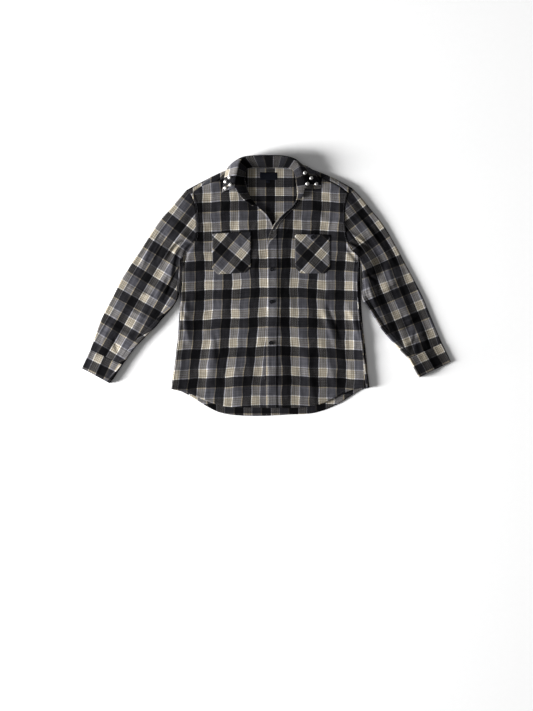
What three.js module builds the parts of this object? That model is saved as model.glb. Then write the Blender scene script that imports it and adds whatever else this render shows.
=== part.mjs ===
import * as THREE from "three";

// A flannel shirt laid flat and seen from above. Millimetres, +Z up, collar toward +Y.
// "left" and "right" in names are the wearer's: the wearer's right side is at -X.

// Cloth and seams
const CLOTH = 1.6; // one ply of brushed flannel
const COLLAR_CLOTH = 2.0; // collar plies with their interlining
const BAND = 1.2; // what the placket and pockets add
const SEAM_GAP = 0.6; // between panels that are sewn edge to edge
const REST_GAP = 0.5; // under a piece that lies on another

// Heights of the laid-out body
const ROLL = 4.5; // radius of the rolled side, shoulder and sleeve edges
const EDGE_TOP = 2 * ROLL; // top face of the cloth at a rolled edge
const FRONT_TOP = 4.4; // top face of a front where it lies on the back
const EDGE_REACH = 30; // how far a rolled edge holds the front up
const LAP_LIFT = 2.4; // the left front rides on the right front
const LAP_FULL = 40; // x up to which the lap is lifted fully
const LAP_END = 78; // x where the lap has come down
const YOKE_GAP = 0.9; // between the yoke and the fronts, whose edges are cut in different steps
const SEAM_INSET = { right: 7, left: 13 }; // side seam inside the outline
const SEAM_INSET_UNDERARM = 7; // and where it reaches the armhole
const SEAM_TAPER = { from: 0, to: 80 }; // y between which the inset changes
const UNDERARM_TO_SEAM = 9.45; // along the armhole
const STRIP_DROP = 1.5; // the back's turned strip ends this far under the armhole's first point
const NECK_HELD = { x: 70, y: 352 }; // where the neck holds the fronts up

// Origin of the drawing, so that the shirt's box is centred
const CENTRE_X = 0;
const CENTRE_Y = -0.33;

// Side outline of the body from hem to underarm
const SIDES = [
  { y: -326, right: -301, left: 327 },
  { y: -280, right: -295, left: 321 },
  { y: -234, right: -288, left: 317 },
  { y: -171, right: -281, left: 310 },
  { y: -107, right: -276, left: 303 },
  { y: -44, right: -273, left: 299 },
  { y: 35, right: -271, left: 297 },
  { y: 90, right: -270.5, left: 296 },
  { y: 320, right: -270.5, left: 296 },
];

// Armholes from underarm to shoulder
const ARMHOLE_RIGHT = [
  { x: -270.5, y: 88 },
  { x: -262, y: 95 },
  { x: -248, y: 107 },
  { x: -232, y: 127 },
  { x: -222, y: 161 },
  { x: -221, y: 209 },
  { x: -226, y: 256 },
  { x: -238, y: 287 },
  { x: -252, y: 302 },
];
const ARMHOLE_LEFT = [
  { x: 296, y: 88 },
  { x: 284, y: 98 },
  { x: 268, y: 113 },
  { x: 256, y: 135 },
  { x: 250, y: 165 },
  { x: 246, y: 202 },
  { x: 248, y: 246 },
  { x: 257, y: 286 },
  { x: 271, y: 308 },
];

// Curved tail of the back and the hems of the fronts
const TAIL = [
  { x: -301, y: -326 },
  { x: -274, y: -332 },
  { x: -243, y: -347 },
  { x: -211, y: -367 },
  { x: -179, y: -386 },
  { x: -148, y: -400 },
  { x: -100, y: -409 },
  { x: -15, y: -411.5 },
  { x: 73, y: -407 },
  { x: 137, y: -404 },
  { x: 185, y: -392 },
  { x: 231, y: -371 },
  { x: 270, y: -346 },
  { x: 300, y: -329 },
  { x: 327, y: -322 },
];
const HEM_RIGHT = [
  { x: -301, y: -326 },
  { x: -243, y: -341 },
  { x: -196, y: -361 },
  { x: -142, y: -379 },
  { x: -80, y: -384 },
  { x: 33, y: -385 },
];
const HEM_LEFT = [
  { x: 0.5, y: -386 },
  { x: 73, y: -386 },
  { x: 137, y: -382 },
  { x: 180, y: -371 },
  { x: 231, y: -347 },
  { x: 280, y: -326 },
  { x: 327, y: -321 },
];

// Front edges from hem to neck point; the right front's is hidden under the left's up to y = 165
const EDGE_RIGHT = [
  { y: -385, x: 33 },
  { y: -100, x: 33 },
  { y: 130, x: 33 },
  { y: 165, x: 28 },
  { y: 188, x: 20 },
  { y: 205, x: 13 },
  { y: 224, x: 1 },
  { y: 240, x: -16 },
  { y: 257, x: -34 },
  { y: 285, x: -53 },
  { y: 325, x: -65 },
  { y: 352, x: -69 },
];
const EDGE_LEFT = [
  { y: -386, x: 0.5 },
  { y: -200, x: 1 },
  { y: -40, x: 4 },
  { y: 60, x: 4 },
  { y: 130, x: 3 },
  { y: 161, x: 10 },
  { y: 183, x: 19 },
  { y: 205, x: 34 },
  { y: 228, x: 56 },
  { y: 251, x: 83 },
  { y: 278, x: 97 },
  { y: 310, x: 96 },
  { y: 346, x: 92 },
];
const PLACKET_WIDE = 32; // below the opening
const PLACKET_TURNED = 15; // what shows of it where the edge rolls in
const PLACKET_ROLLS = { from: 120, to: 200 }; // y between which it rolls in
const PLACKET_TOP = 272; // where it goes under the collar band
const PLACKET_SHARE = 0.1; // of a front's width, for the columns along its edge

// Shoulder fold and the seam of the yoke on the fronts
const SHOULDER = [
  { x: -262, y: 295 },
  { x: -252, y: 302 },
  { x: -206, y: 327 },
  { x: -167, y: 347 },
  { x: -123, y: 366 },
  { x: -64, y: 377 },
  { x: 0, y: 388 },
  { x: 78, y: 380 },
  { x: 105, y: 377 },
  { x: 137, y: 370 },
  { x: 187, y: 351 },
  { x: 232, y: 330 },
  { x: 271, y: 308 },
  { x: 281, y: 302 },
];
const YOKE_SEAM_RIGHT = [
  { x: -208, y: 311 },
  { x: -181, y: 322 },
  { x: -151, y: 331 },
  { x: -123, y: 340 },
];
const YOKE_SEAM_LEFT = [
  { x: 218, y: 322 },
  { x: 183, y: 336 },
  { x: 137, y: 350 },
];
const YOKE_TURN = 19; // of the yoke along the armhole, on the fronts
const YOKE_BACK_Y = 284;
const YOKE_LIFT_SHARE = 0.25; // of the yoke's width, where its back seam rises to the armhole
const NECK_SIDE = { right: -62, left: 84, rise: 8 }; // where the neckline leaves the shoulder fold
const NECK_BACK = [
  { x: -50, y: 372 },
  { x: -20, y: 371 },
  { x: 10, y: 371 },
  { x: 40, y: 371 },
  { x: 70, y: 372 },
];
const YOKE_WIDE_STEP = 25; // columns of the yoke further apart than this get one between

// Sleeves: a row per section, its ends at the outer and inner edge, the share of the armhole's
// curve it keeps and how far its middle stands above its rolled edges, before the folds
const SLEEVE_RIGHT = [
  { ox: -252, oy: 302, ix: -270.5, iy: 88, bow: 1, crown: 0 },
  { ox: -278, oy: 272, ix: -275.5, iy: 80, bow: 0.78, crown: -1 },
  { ox: -305, oy: 240, ix: -277, iy: 66, bow: 0.56, crown: -1.5 },
  { ox: -333, oy: 209, ix: -277, iy: 45, bow: 0.36, crown: -2 },
  { ox: -356, oy: 177, ix: -281, iy: 20, bow: 0.18, crown: -2.5 },
  { ox: -376, oy: 145, ix: -285, iy: -4, bow: 0.06, crown: -2.5 },
  { ox: -396, oy: 114, ix: -283, iy: -28, bow: 0, crown: -2.5 },
  { ox: -418, oy: 82, ix: -288, iy: -57, bow: 0, crown: -2.5 },
  { ox: -438, oy: 50, ix: -303, iy: -78, bow: 0, crown: -2.5 },
  { ox: -459, oy: 17, ix: -325, iy: -101, bow: 0, crown: -2.5 },
  { ox: -481, oy: -28, ix: -350, iy: -131, bow: 0, crown: -2.5 },
  { ox: -507, oy: -76, ix: -385, iy: -166, bow: 0, crown: -2 },
  { ox: -528, oy: -122, ix: -415, iy: -198, bow: 0, crown: -2 },
  { ox: -544, oy: -169, ix: -440, iy: -232, bow: 0, crown: -1.5 },
  { ox: -556, oy: -202, ix: -454, iy: -250, bow: 0, crown: -2.5 },
];
const SLEEVE_LEFT = [
  { ox: 271, oy: 308, ix: 296, iy: 88, bow: 1, crown: 0 },
  { ox: 298, oy: 280, ix: 300.5, iy: 82, bow: 0.78, crown: -1 },
  { ox: 328, oy: 243, ix: 304, iy: 70, bow: 0.56, crown: -1.5 },
  { ox: 356, oy: 210, ix: 308, iy: 50, bow: 0.36, crown: -2 },
  { ox: 379, oy: 177, ix: 309, iy: 26, bow: 0.18, crown: -2.5 },
  { ox: 398, oy: 145, ix: 304.5, iy: 3, bow: 0.06, crown: -2.5 },
  { ox: 416, oy: 113, ix: 303, iy: -19, bow: 0, crown: -2.5 },
  { ox: 432, oy: 82, ix: 305, iy: -42, bow: 0, crown: -2.5 },
  { ox: 449, oy: 51, ix: 313, iy: -59, bow: 0, crown: -2.5 },
  { ox: 466, oy: 19, ix: 327, iy: -80, bow: 0, crown: -2.5 },
  { ox: 483, oy: -14, ix: 345, iy: -109, bow: 0, crown: -2.5 },
  { ox: 498, oy: -45, ix: 364, iy: -138, bow: 0, crown: -2.5 },
  { ox: 511, oy: -77, ix: 386, iy: -165, bow: 0, crown: -2 },
  { ox: 524, oy: -109, ix: 406, iy: -187, bow: 0, crown: -2 },
  { ox: 539, oy: -145, ix: 428, iy: -210, bow: 0, crown: -1.5 },
  { ox: 555, oy: -182, ix: 449, iy: -231, bow: 0, crown: -2.5 },
];
const CUFF_RIGHT = [
  { ox: -556.3, oy: -202.7, ix: -454.3, iy: -250.7, bow: 0, crown: -2.5 },
  { ox: -570, oy: -233, ix: -474, iy: -281, bow: 0, crown: -2.5 },
  { ox: -583, oy: -261, ix: -493, iy: -309, bow: 0, crown: -2.5 },
];
const CUFF_LEFT = [
  { ox: 555.3, oy: -182.7, ix: 449.3, iy: -231.7, bow: 0, crown: -2.5 },
  { ox: 569, oy: -211, ix: 466, iy: -261, bow: 0, crown: -2.5 },
  { ox: 583, oy: -240, ix: 482, iy: -290, bow: 0, crown: -2.5 },
];

// Large folds: soft ridges from one point to another
const FOLDS = [
  { x0: -228, y0: 165, x1: -330, y1: 125, width: 15, height: 6 },
  { x0: -252, y0: 118, x1: -300, y1: 70, width: 11, height: 4 },
  { x0: 250, y0: 182, x1: 352, y1: 92, width: 14, height: 6 },
  { x0: 270, y0: 128, x1: 300, y1: 95, width: 10, height: 4 },
  { x0: 328, y0: 66, x1: 350, y1: 20, width: 14, height: 5 },
  { x0: -262, y0: -80, x1: -240, y1: -190, width: 16, height: 2.5 },
  { x0: 180, y0: -60, x1: 222, y1: -190, width: 17, height: 3 },
  { x0: 250, y0: -50, x1: 306, y1: -190, width: 15, height: 2.5 },
  { x0: -150, y0: -140, x1: -180, y1: -330, width: 22, height: 2.5 },
  { x0: 120, y0: -200, x1: 150, y1: -360, width: 22, height: 2.5 },
];

// Collar: a row per station round the neck. Foot and top of the band, then the middle and edge
// of the turned-over fall; "leaf" marks the stations that the fall has
const COLLAR = [
  { fx: -33, fy: 255, fz: 6.6, tx: -41, ty: 251, tz: 10.5 },
  { fx: -45, fy: 270, fz: 7.2, tx: -63, ty: 265, tz: 13.5 },
  { fx: -54, fy: 286, fz: 7.6, tx: -80, ty: 280, tz: 16 },
  { fx: -61, fy: 305, fz: 8.2, tx: -97, ty: 307, tz: 18, mx: -120, my: 303, mz: 15.5, ex: -141, ey: 292, ez: 9.6, leaf: 1 },
  { fx: -65, fy: 325, fz: 9.4, tx: -97, ty: 324, tz: 19.5, mx: -118, my: 322, mz: 17.5, ex: -137, ey: 315, ez: 12.4, leaf: 1 },
  { fx: -67, fy: 345, fz: 10.2, tx: -92, ty: 348, tz: 22, mx: -113, my: 347, mz: 20, ex: -132, ey: 342, ez: 13, leaf: 1 },
  { fx: -64, fy: 361, fz: 10.4, tx: -86, ty: 374, tz: 25, mx: -109, my: 371, mz: 21, ex: -126, ey: 366, ez: 12.5, leaf: 1 },
  { fx: -58, fy: 370, fz: 8, tx: -81, ty: 390, tz: 26, mx: -104, my: 388, mz: 17, ex: -111, ey: 376, ez: 7, leaf: 1 },
  { fx: -44, fy: 373, fz: 3.5, tx: -68, ty: 402, tz: 27, mx: -82, my: 402, mz: 17, ex: -82, ey: 385, ez: 0.2, leaf: 1 },
  { fx: -24, fy: 372, fz: 2.4, tx: -40, ty: 405, tz: 27, mx: -44, my: 408.5, mz: 15, ex: -44, ey: 380, ez: 0, leaf: 1 },
  { fx: 10, fy: 372, fz: 2.4, tx: 5, ty: 406, tz: 27, mx: 4, my: 409, mz: 15, ex: 4, ey: 378, ez: 0, leaf: 1 },
  { fx: 42, fy: 372, fz: 2.4, tx: 52, ty: 404, tz: 27, mx: 54, my: 408, mz: 15, ex: 52, ey: 380, ez: 0, leaf: 1 },
  { fx: 66, fy: 372, fz: 3.5, tx: 82, ty: 398, tz: 27, mx: 92, my: 398, mz: 17, ex: 88, ey: 386, ez: 0.6, leaf: 1 },
  { fx: 79, fy: 368, fz: 8, tx: 96, ty: 385, tz: 26, mx: 113, my: 382, mz: 18, ex: 117, ey: 380, ez: 9, leaf: 1 },
  { fx: 88, fy: 358, fz: 10.4, tx: 104, ty: 366, tz: 25, mx: 128, my: 368, mz: 20, ex: 145, ey: 364, ez: 12.8, leaf: 1 },
  { fx: 92, fy: 341, fz: 10.4, tx: 110, ty: 347, tz: 23, mx: 138, my: 350, mz: 19, ex: 158, ey: 345, ez: 13, leaf: 1 },
  { fx: 95, fy: 322, fz: 9.4, tx: 116, ty: 326, tz: 21, mx: 146, my: 329, mz: 17, ex: 171, ey: 322, ez: 10.6, leaf: 1 },
  { fx: 98, fy: 305, fz: 8.6, tx: 121, ty: 307, tz: 18, mx: 148, my: 306, mz: 14.5, ex: 176, ey: 309, ez: 8.6, leaf: 1 },
  { fx: 100, fy: 290, fz: 8.4, tx: 117, ty: 289, tz: 15 },
  { fx: 98, fy: 277, fz: 8.2, tx: 110, ty: 273, tz: 12 },
];
const FALL_STEPS = 7;
const FALL_RISE = 9; // how far the fall runs on from the band before it turns over
const FALL_GAP = 1.4; // from the band on the visible side; the turn closes most of it behind
const STAND_STEPS = 3;
const STAND_BOW = 1.2; // how far the band's face bows out

// Chest pockets: corners in order round the outline, wearer's right then left
const POCKET_RIGHT = { x0: -170, x1: -49, y0: 39, y1: 167, tilt: 0.06, clip: 17 };
const POCKET_LEFT = { x0: 91, x1: 201, y0: 39, y1: 161, tilt: -0.02, clip: 17 };
const POCKET_STEPS = 6;

// Trim
const LABEL = { x: 7, y: 346, wide: 54, tall: 23 };
const SIZE_TAB = { x: 5, y: 329, wide: 14, tall: 9 };
const LABEL_CLOTH = 1;
const BUTTON_RADIUS = 6;
const BUTTON_THICK = 2.6;
const BUTTON_HOLE = 0.9;
const BUTTON_HOLE_PITCH = 1.7;
const BUTTON_SIDES = 20;
const BUTTON_HOLE_SIDES = 6;
const STUD_RADIUS = 6;
const STUD_TALL = 4;
const STUD_RIM = 0.6;
const STUD_RINGS = 4;
const STUD_SIDES = 14;
const FRONT_BUTTONS = [
  { name: "button_front_1", x: 17, y: 51 },
  { name: "button_front_2", x: 16, y: -51 },
  { name: "button_front_3", x: 14, y: -181 },
];
const LOWEST_BUTTON = { name: "button_front_4", x: -8, y: -292 };
const POCKET_BUTTON = { name: "button_pocket", x: 146, y: 153 };
const STUDS = [
  { name: "stud_right_1", x: -116, y: 341 },
  { name: "stud_right_2", x: -129, y: 328 },
  { name: "stud_right_3", x: -113, y: 318 },
  { name: "stud_right_4", x: -129, y: 308 },
  { name: "stud_left_1", x: 122, y: 355 },
  { name: "stud_left_2", x: 142, y: 339 },
  { name: "stud_left_3", x: 130, y: 321 },
  { name: "stud_left_4", x: 158, y: 321 },
];

// Samples
const SIDE_STEPS = 9; // hem to underarm
const ARM_STEPS = 8; // along an armhole between its seams
const FRONT_STEPS = 11; // across a front, beside the placket's own columns
const BACK_STEPS = 16; // across the flat of the back
const TURN_STEPS = 4; // round a rolled edge

const CLOTHS = {
  plaid: { color: 0x55535a, roughness: 0.95, metalness: 0 },
  label: { color: 0x14161f, roughness: 0.8, metalness: 0 },
  button: { color: 0x15151a, roughness: 0.4, metalness: 0 },
  stud: { color: 0xd8d6d2, roughness: 0.2, metalness: 1 },
};

const group = new THREE.Group();

// Small helpers

const mix = (a, b, t) => a + (b - a) * t;

function smooth(from, to, value) {
  const t = Math.min(1, Math.max(0, (value - from) / (to - from)));
  return t * t * (3 - 2 * t);
}

// Reads a table smoothly: the column at a value of the key
function read(rows, key, column, value) {
  let i = 0;
  while (i < rows.length - 2 && value > rows[i + 1][key]) i += 1;
  const slope = (k) => {
    const before = rows[Math.max(0, k - 1)];
    const after = rows[Math.min(rows.length - 1, k + 1)];
    return (after[column] - before[column]) / (after[key] - before[key]);
  };
  const span = rows[i + 1][key] - rows[i][key];
  const t = Math.min(1, Math.max(0, (value - rows[i][key]) / span));
  const hermite = [
    (1 + 2 * t) * (1 - t) * (1 - t),
    t * (1 - t) * (1 - t),
    t * t * (3 - 2 * t),
    t * t * (t - 1),
  ];
  return (
    hermite[0] * rows[i][column] +
    hermite[1] * span * slope(i) +
    hermite[2] * rows[i + 1][column] +
    hermite[3] * span * slope(i + 1)
  );
}

// A smooth plan curve through points, read by the share of its length
function curve(points) {
  const line = new THREE.CatmullRomCurve3(
    points.map((p) => new THREE.Vector3(p.x, p.y, 0)),
    false,
    "centripetal",
  );
  line.arcLengthDivisions = 600;
  return (share) => {
    const p = line.getPointAt(Math.min(1, Math.max(0, share)));
    return { x: p.x, y: p.y };
  };
}

function curveLength(points) {
  return new THREE.CatmullRomCurve3(
    points.map((p) => new THREE.Vector3(p.x, p.y, 0)),
    false,
    "centripetal",
  ).getLength();
}

function distanceTo(points, x, y) {
  let best = Infinity;
  for (let i = 1; i < points.length; i += 1) {
    const a = points[i - 1];
    const b = points[i];
    const dx = b.x - a.x;
    const dy = b.y - a.y;
    const t = Math.min(1, Math.max(0, ((x - a.x) * dx + (y - a.y) * dy) / (dx * dx + dy * dy)));
    best = Math.min(best, Math.hypot(x - a.x - t * dx, y - a.y - t * dy));
  }
  return best;
}

// Fills a patch between four edges that share their corners
function patch(bottom, top, left, right) {
  const nu = bottom.length - 1;
  const nv = left.length - 1;
  const across = shares(bottom);
  const along = shares(left);
  const grid = [];
  for (let i = 0; i <= nv; i += 1) {
    const row = [];
    const v = along[i];
    for (let j = 0; j <= nu; j += 1) {
      const u = across[j];
      const at = (axis) =>
        mix(bottom[j][axis], top[j][axis], v) +
        mix(left[i][axis], right[i][axis], u) -
        mix(mix(bottom[0][axis], bottom[nu][axis], u), mix(top[0][axis], top[nu][axis], u), v);
      row.push({ x: at("x"), y: at("y") });
    }
    grid.push(row);
  }
  return grid;
}

function shares(line) {
  const lengths = [0];
  for (let i = 1; i < line.length; i += 1) {
    const step = Math.hypot(line[i].x - line[i - 1].x, line[i].y - line[i - 1].y);
    lengths.push(lengths[i - 1] + step);
  }
  return lengths.map((s) => s / lengths[lengths.length - 1]);
}

// Turns two matching grids of points, the outer and the inner face, into one closed wall
function wall(name, outer, inner, cloth, ring = false) {
  const rows = outer.length;
  const columns = outer[0].length;
  const points = [];
  for (const face of [outer, inner]) {
    for (const row of face) {
      for (const p of row) points.push(p.x, p.y, p.z);
    }
  }
  const id = (face, i, j) => face * rows * columns + i * columns + (j % columns);
  const faces = [];
  const quad = (a, b, c, d) => faces.push(a, b, c, a, c, d);
  const last = ring ? columns : columns - 1;
  for (let i = 0; i < rows - 1; i += 1) {
    for (let j = 0; j < last; j += 1) {
      quad(id(0, i, j), id(0, i, j + 1), id(0, i + 1, j + 1), id(0, i + 1, j));
      quad(id(1, i, j), id(1, i + 1, j), id(1, i + 1, j + 1), id(1, i, j + 1));
    }
  }
  for (let j = 0; j < last; j += 1) {
    quad(id(0, 0, j), id(1, 0, j), id(1, 0, j + 1), id(0, 0, j + 1));
    quad(id(0, rows - 1, j), id(0, rows - 1, j + 1), id(1, rows - 1, j + 1), id(1, rows - 1, j));
  }
  if (!ring) {
    for (let i = 0; i < rows - 1; i += 1) {
      quad(id(0, i, 0), id(0, i + 1, 0), id(1, i + 1, 0), id(1, i, 0));
      quad(id(0, i, last), id(1, i, last), id(1, i + 1, last), id(0, i + 1, last));
    }
  }
  addSolid(name, points, faces, cloth);
}

// Adds a mesh to the group and turns its faces outward
function addSolid(name, points, faces, cloth) {
  let volume = 0;
  const corner = new THREE.Vector3();
  const second = new THREE.Vector3();
  const third = new THREE.Vector3();
  for (let i = 0; i < faces.length; i += 3) {
    corner.fromArray(points, faces[i] * 3);
    second.fromArray(points, faces[i + 1] * 3);
    third.fromArray(points, faces[i + 2] * 3);
    volume += corner.dot(second.cross(third));
  }
  if (volume < 0) {
    for (let i = 0; i < faces.length; i += 3) {
      [faces[i + 1], faces[i + 2]] = [faces[i + 2], faces[i + 1]];
    }
  }
  const geometry = new THREE.BufferGeometry();
  geometry.setAttribute("position", new THREE.Float32BufferAttribute(points, 3));
  geometry.setIndex(faces);
  geometry.computeVertexNormals();
  addGeometry(name, geometry, cloth);
}

function addGeometry(name, geometry, cloth) {
  const mesh = new THREE.Mesh(geometry, new THREE.MeshStandardMaterial(CLOTHS[cloth]));
  mesh.name = name;
  mesh.position.set(-CENTRE_X, -CENTRE_Y, 0);
  group.add(mesh);
}

const raised = (grid, lift) => grid.map((row) => row.map((p) => ({ x: p.x, y: p.y, z: p.z + lift })));

// The height of a grid's surface over a plan point, and its slope there
function surfaceAt(grid, x, y) {
  for (let i = 0; i < grid.length - 1; i += 1) {
    for (let j = 0; j < grid[i].length - 1; j += 1) {
      const a = grid[i][j];
      const b = grid[i][j + 1];
      const c = grid[i + 1][j + 1];
      const d = grid[i + 1][j];
      for (const [p, q, r] of [
        [a, b, c],
        [a, c, d],
      ]) {
        const area = (q.x - p.x) * (r.y - p.y) - (r.x - p.x) * (q.y - p.y);
        if (Math.abs(area) < 1e-9) continue;
        const s = ((x - p.x) * (r.y - p.y) - (r.x - p.x) * (y - p.y)) / area;
        const t = ((q.x - p.x) * (y - p.y) - (x - p.x) * (q.y - p.y)) / area;
        if (s < -1e-6 || t < -1e-6 || s + t > 1 + 1e-6) continue;
        const normal = new THREE.Vector3(q.x - p.x, q.y - p.y, q.z - p.z)
          .cross(new THREE.Vector3(r.x - p.x, r.y - p.y, r.z - p.z))
          .normalize();
        if (normal.z < 0) normal.negate();
        return { z: p.z + s * (q.z - p.z) + t * (r.z - p.z), normal };
      }
    }
  }
  throw new Error("no surface at " + x + ", " + y);
}

// Heights of the fronts

function seamInset(side, y) {
  return mix(SEAM_INSET[side], SEAM_INSET_UNDERARM, smooth(SEAM_TAPER.from, SEAM_TAPER.to, y));
}

const edgeLines = {
  right: edgeLine("right", ARMHOLE_RIGHT, YOKE_SEAM_RIGHT, -1),
  left: edgeLine("left", ARMHOLE_LEFT, YOKE_SEAM_LEFT, 1),
};

// Side, armhole and yoke seam of one front, the lines where it is held up
function edgeLine(side, armhole, yokeSeam, sign) {
  const line = [];
  for (const row of SIDES.slice(0, -2)) {
    line.push({ x: row[side] - sign * seamInset(side, row.y), y: row.y });
  }
  for (const p of armhole.slice(1, -1)) line.push(p);
  for (const p of yokeSeam) line.push(p);
  line.push({ x: sign * NECK_HELD.x, y: NECK_HELD.y });
  return line;
}

function foldHeight(x, y) {
  let height = 0;
  for (const fold of FOLDS) {
    const dx = fold.x1 - fold.x0;
    const dy = fold.y1 - fold.y0;
    const t = ((x - fold.x0) * dx + (y - fold.y0) * dy) / (dx * dx + dy * dy);
    const near = Math.min(1, Math.max(0, t));
    const away = Math.hypot(x - fold.x0 - near * dx, y - fold.y0 - near * dy);
    const fade = Math.sin(Math.PI * Math.min(1, Math.max(0, mix(0.15, 0.85, near))));
    height += fold.height * fade * Math.exp(-((away / fold.width) ** 2));
  }
  return height;
}

function frontTop(side, x, y) {
  const away = distanceTo(edgeLines[side], x, y);
  const rise = (EDGE_TOP - FRONT_TOP) * Math.exp(-((away / EDGE_REACH) ** 2));
  const lap = side === "left" ? LAP_LIFT * (1 - smooth(LAP_FULL, LAP_END, x)) : 0;
  return FRONT_TOP + rise + lap + foldHeight(x, y);
}

// Armhole vertices that the body and the sleeve share

function armholeVertices(points) {
  const length = curveLength(points);
  const at = curve(points);
  const first = UNDERARM_TO_SEAM / length;
  const lastShare = 1 - YOKE_TURN / length;
  const list = [ROLL / length, first];
  for (let k = 1; k <= ARM_STEPS; k += 1) list.push(mix(first, lastShare, k / ARM_STEPS));
  list.push(1 - ROLL / length);
  return { shares: list, points: list.map(at), under: points[0], shoulder: points[points.length - 1] };
}

const arm = {
  right: armholeVertices(ARMHOLE_RIGHT),
  left: armholeVertices(ARMHOLE_LEFT),
};

// The points of an armhole between the side seam and the yoke seam
const armSeamPoints = (side) => arm[side].points.slice(1, -1);

// Points round a rolled edge: from its top to its underside, with the way into the cloth
function rollPoints(start, end) {
  const reach = Math.hypot(end.x - start.x, end.y - start.y);
  const ox = (end.x - start.x) / reach;
  const oy = (end.y - start.y) / reach;
  const list = [];
  for (let k = 0; k <= TURN_STEPS; k += 1) {
    const angle = (Math.PI * k) / TURN_STEPS;
    const out = Math.sin(angle);
    const up = Math.cos(angle);
    list.push({
      x: start.x + ox * ROLL * out,
      y: start.y + oy * ROLL * out,
      z: ROLL + ROLL * up,
      nx: -ox * out,
      ny: -oy * out,
      nz: -up,
    });
  }
  return list;
}

const inward = (p, depth) => ({ x: p.x + p.nx * depth, y: p.y + p.ny * depth, z: p.z + p.nz * depth });

// Fronts

function frontEdge(rows, levels) {
  return levels.map((y) => ({ x: read(rows, "y", "x", y), y }));
}

function front(side) {
  const isRight = side === "right";
  const sign = isRight ? -1 : 1;
  const hem = isRight ? HEM_RIGHT : HEM_LEFT;
  const edgeRows = isRight ? EDGE_RIGHT : EDGE_LEFT;
  const yokeSeam = isRight ? YOKE_SEAM_RIGHT : YOKE_SEAM_LEFT;
  const seamPoints = armSeamPoints(side);
  const hemY = isRight ? hem[0].y : hem[hem.length - 1].y;

  const sideLine = [];
  for (let i = 0; i < SIDE_STEPS; i += 1) {
    const y = mix(hemY, seamPoints[0].y, i / SIDE_STEPS);
    sideLine.push({ x: read(SIDES, "y", side, y) - sign * (seamInset(side, y) + SEAM_GAP), y });
  }
  for (const p of seamPoints) sideLine.push({ x: p.x, y: p.y });
  const share = shares(sideLine);
  const low = edgeRows[0].y;
  const high = edgeRows[edgeRows.length - 1].y;
  const edge = frontEdge(
    edgeRows,
    share.map((s) => mix(low, high, s)),
  );

  // The placket's columns come first, then the rest of the front
  const fractions = [0, PLACKET_SHARE / 2, PLACKET_SHARE];
  for (let j = 1; j <= FRONT_STEPS; j += 1) fractions.push(mix(PLACKET_SHARE, 1, j / FRONT_STEPS));
  const hemCurve = curve(isRight ? [...hem].reverse() : hem);
  const bottom = fractions.map((f) => hemCurve(f));
  bottom[0] = edge[0];
  bottom[bottom.length - 1] = sideLine[0];
  const neckPoint = edge[edge.length - 1];
  const armPoint = sideLine[sideLine.length - 1];
  const seamCurve = curve([neckPoint, ...[...yokeSeam].reverse(), armPoint]);
  const topLine = fractions.map((f) => seamCurve(f));
  const grid = patch(bottom, topLine, edge, sideLine);
  return grid.map((row) => row.map((p) => ({ x: p.x, y: p.y, z: frontTop(side, p.x, p.y) })));
}

const frontGrids = {
  right: front("right"),
  left: front("left"),
};

// Buttonhole band on the left front's edge, laid on that front's own rows of points
function placket() {
  const rows = frontGrids.left.filter((row) => row[0].y < PLACKET_TOP);
  return rows.map((row) => {
    const turned = smooth(PLACKET_ROLLS.from, PLACKET_ROLLS.to, row[0].y);
    const wide = mix(PLACKET_WIDE, PLACKET_TURNED, turned);
    return [0, 0.5, 1].map((share) => alongRow(row, wide * share));
  });
}

// The point of a row of points at a plan distance from its start
function alongRow(row, distance) {
  let left = distance;
  for (let j = 1; j < row.length; j += 1) {
    const a = row[j - 1];
    const b = row[j];
    const step = Math.hypot(b.x - a.x, b.y - a.y);
    const t = left / step;
    if (t <= 1) return { x: mix(a.x, b.x, t), y: mix(a.y, b.y, t), z: mix(a.z, b.z, t) };
    left -= step;
  }
  return row[row.length - 1];
}

// Back panel: drawn flat with its side strips spread out, then turned up round the sides

function spreadX(side, y, angleShare, flat) {
  const sign = side === "right" ? -1 : 1;
  const foot = Math.abs(read(SIDES, "y", side, y)) - ROLL;
  return sign * (foot + angleShare * Math.PI * ROLL + flat);
}

function turnUp(s, y) {
  const side = s < 0 ? "right" : "left";
  const sign = s < 0 ? -1 : 1;
  const foot = Math.abs(read(SIDES, "y", side, y)) - ROLL;
  const past = Math.abs(s) - foot;
  const turn = Math.PI * ROLL;
  if (past <= 0) return { x: s, y, z: 0, nx: 0, ny: 0, nz: 1 };
  if (past >= turn) return { x: sign * (foot - (past - turn)), y, z: EDGE_TOP, nx: 0, ny: 0, nz: -1 };
  const angle = past / ROLL;
  return {
    x: sign * (foot + ROLL * Math.sin(angle)),
    y,
    z: ROLL - ROLL * Math.cos(angle),
    nx: -sign * Math.sin(angle),
    ny: 0,
    nz: Math.cos(angle),
  };
}

// One side of the back in spread form: side seam, then across the rolled strip, then the armhole
function backSide(side) {
  const hemY = side === "right" ? TAIL[0].y : TAIL[TAIL.length - 1].y;
  const points = arm[side].points;
  const topY = points[0].y - STRIP_DROP;
  const line = [];
  for (let i = 0; i <= SIDE_STEPS; i += 1) {
    const y = mix(hemY, topY, i / SIDE_STEPS);
    line.push({ x: spreadX(side, y, 1, seamInset(side, y) - ROLL), y });
  }
  const rim = rollPoints(points[0], arm[side].under);
  rim.forEach((p, k) => line.push({ x: spreadX(side, p.y, 1 - k / TURN_STEPS, 0), y: p.y }));
  for (const p of points.slice(1, -1)) line.push({ x: p.x, y: p.y });
  return line;
}

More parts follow.
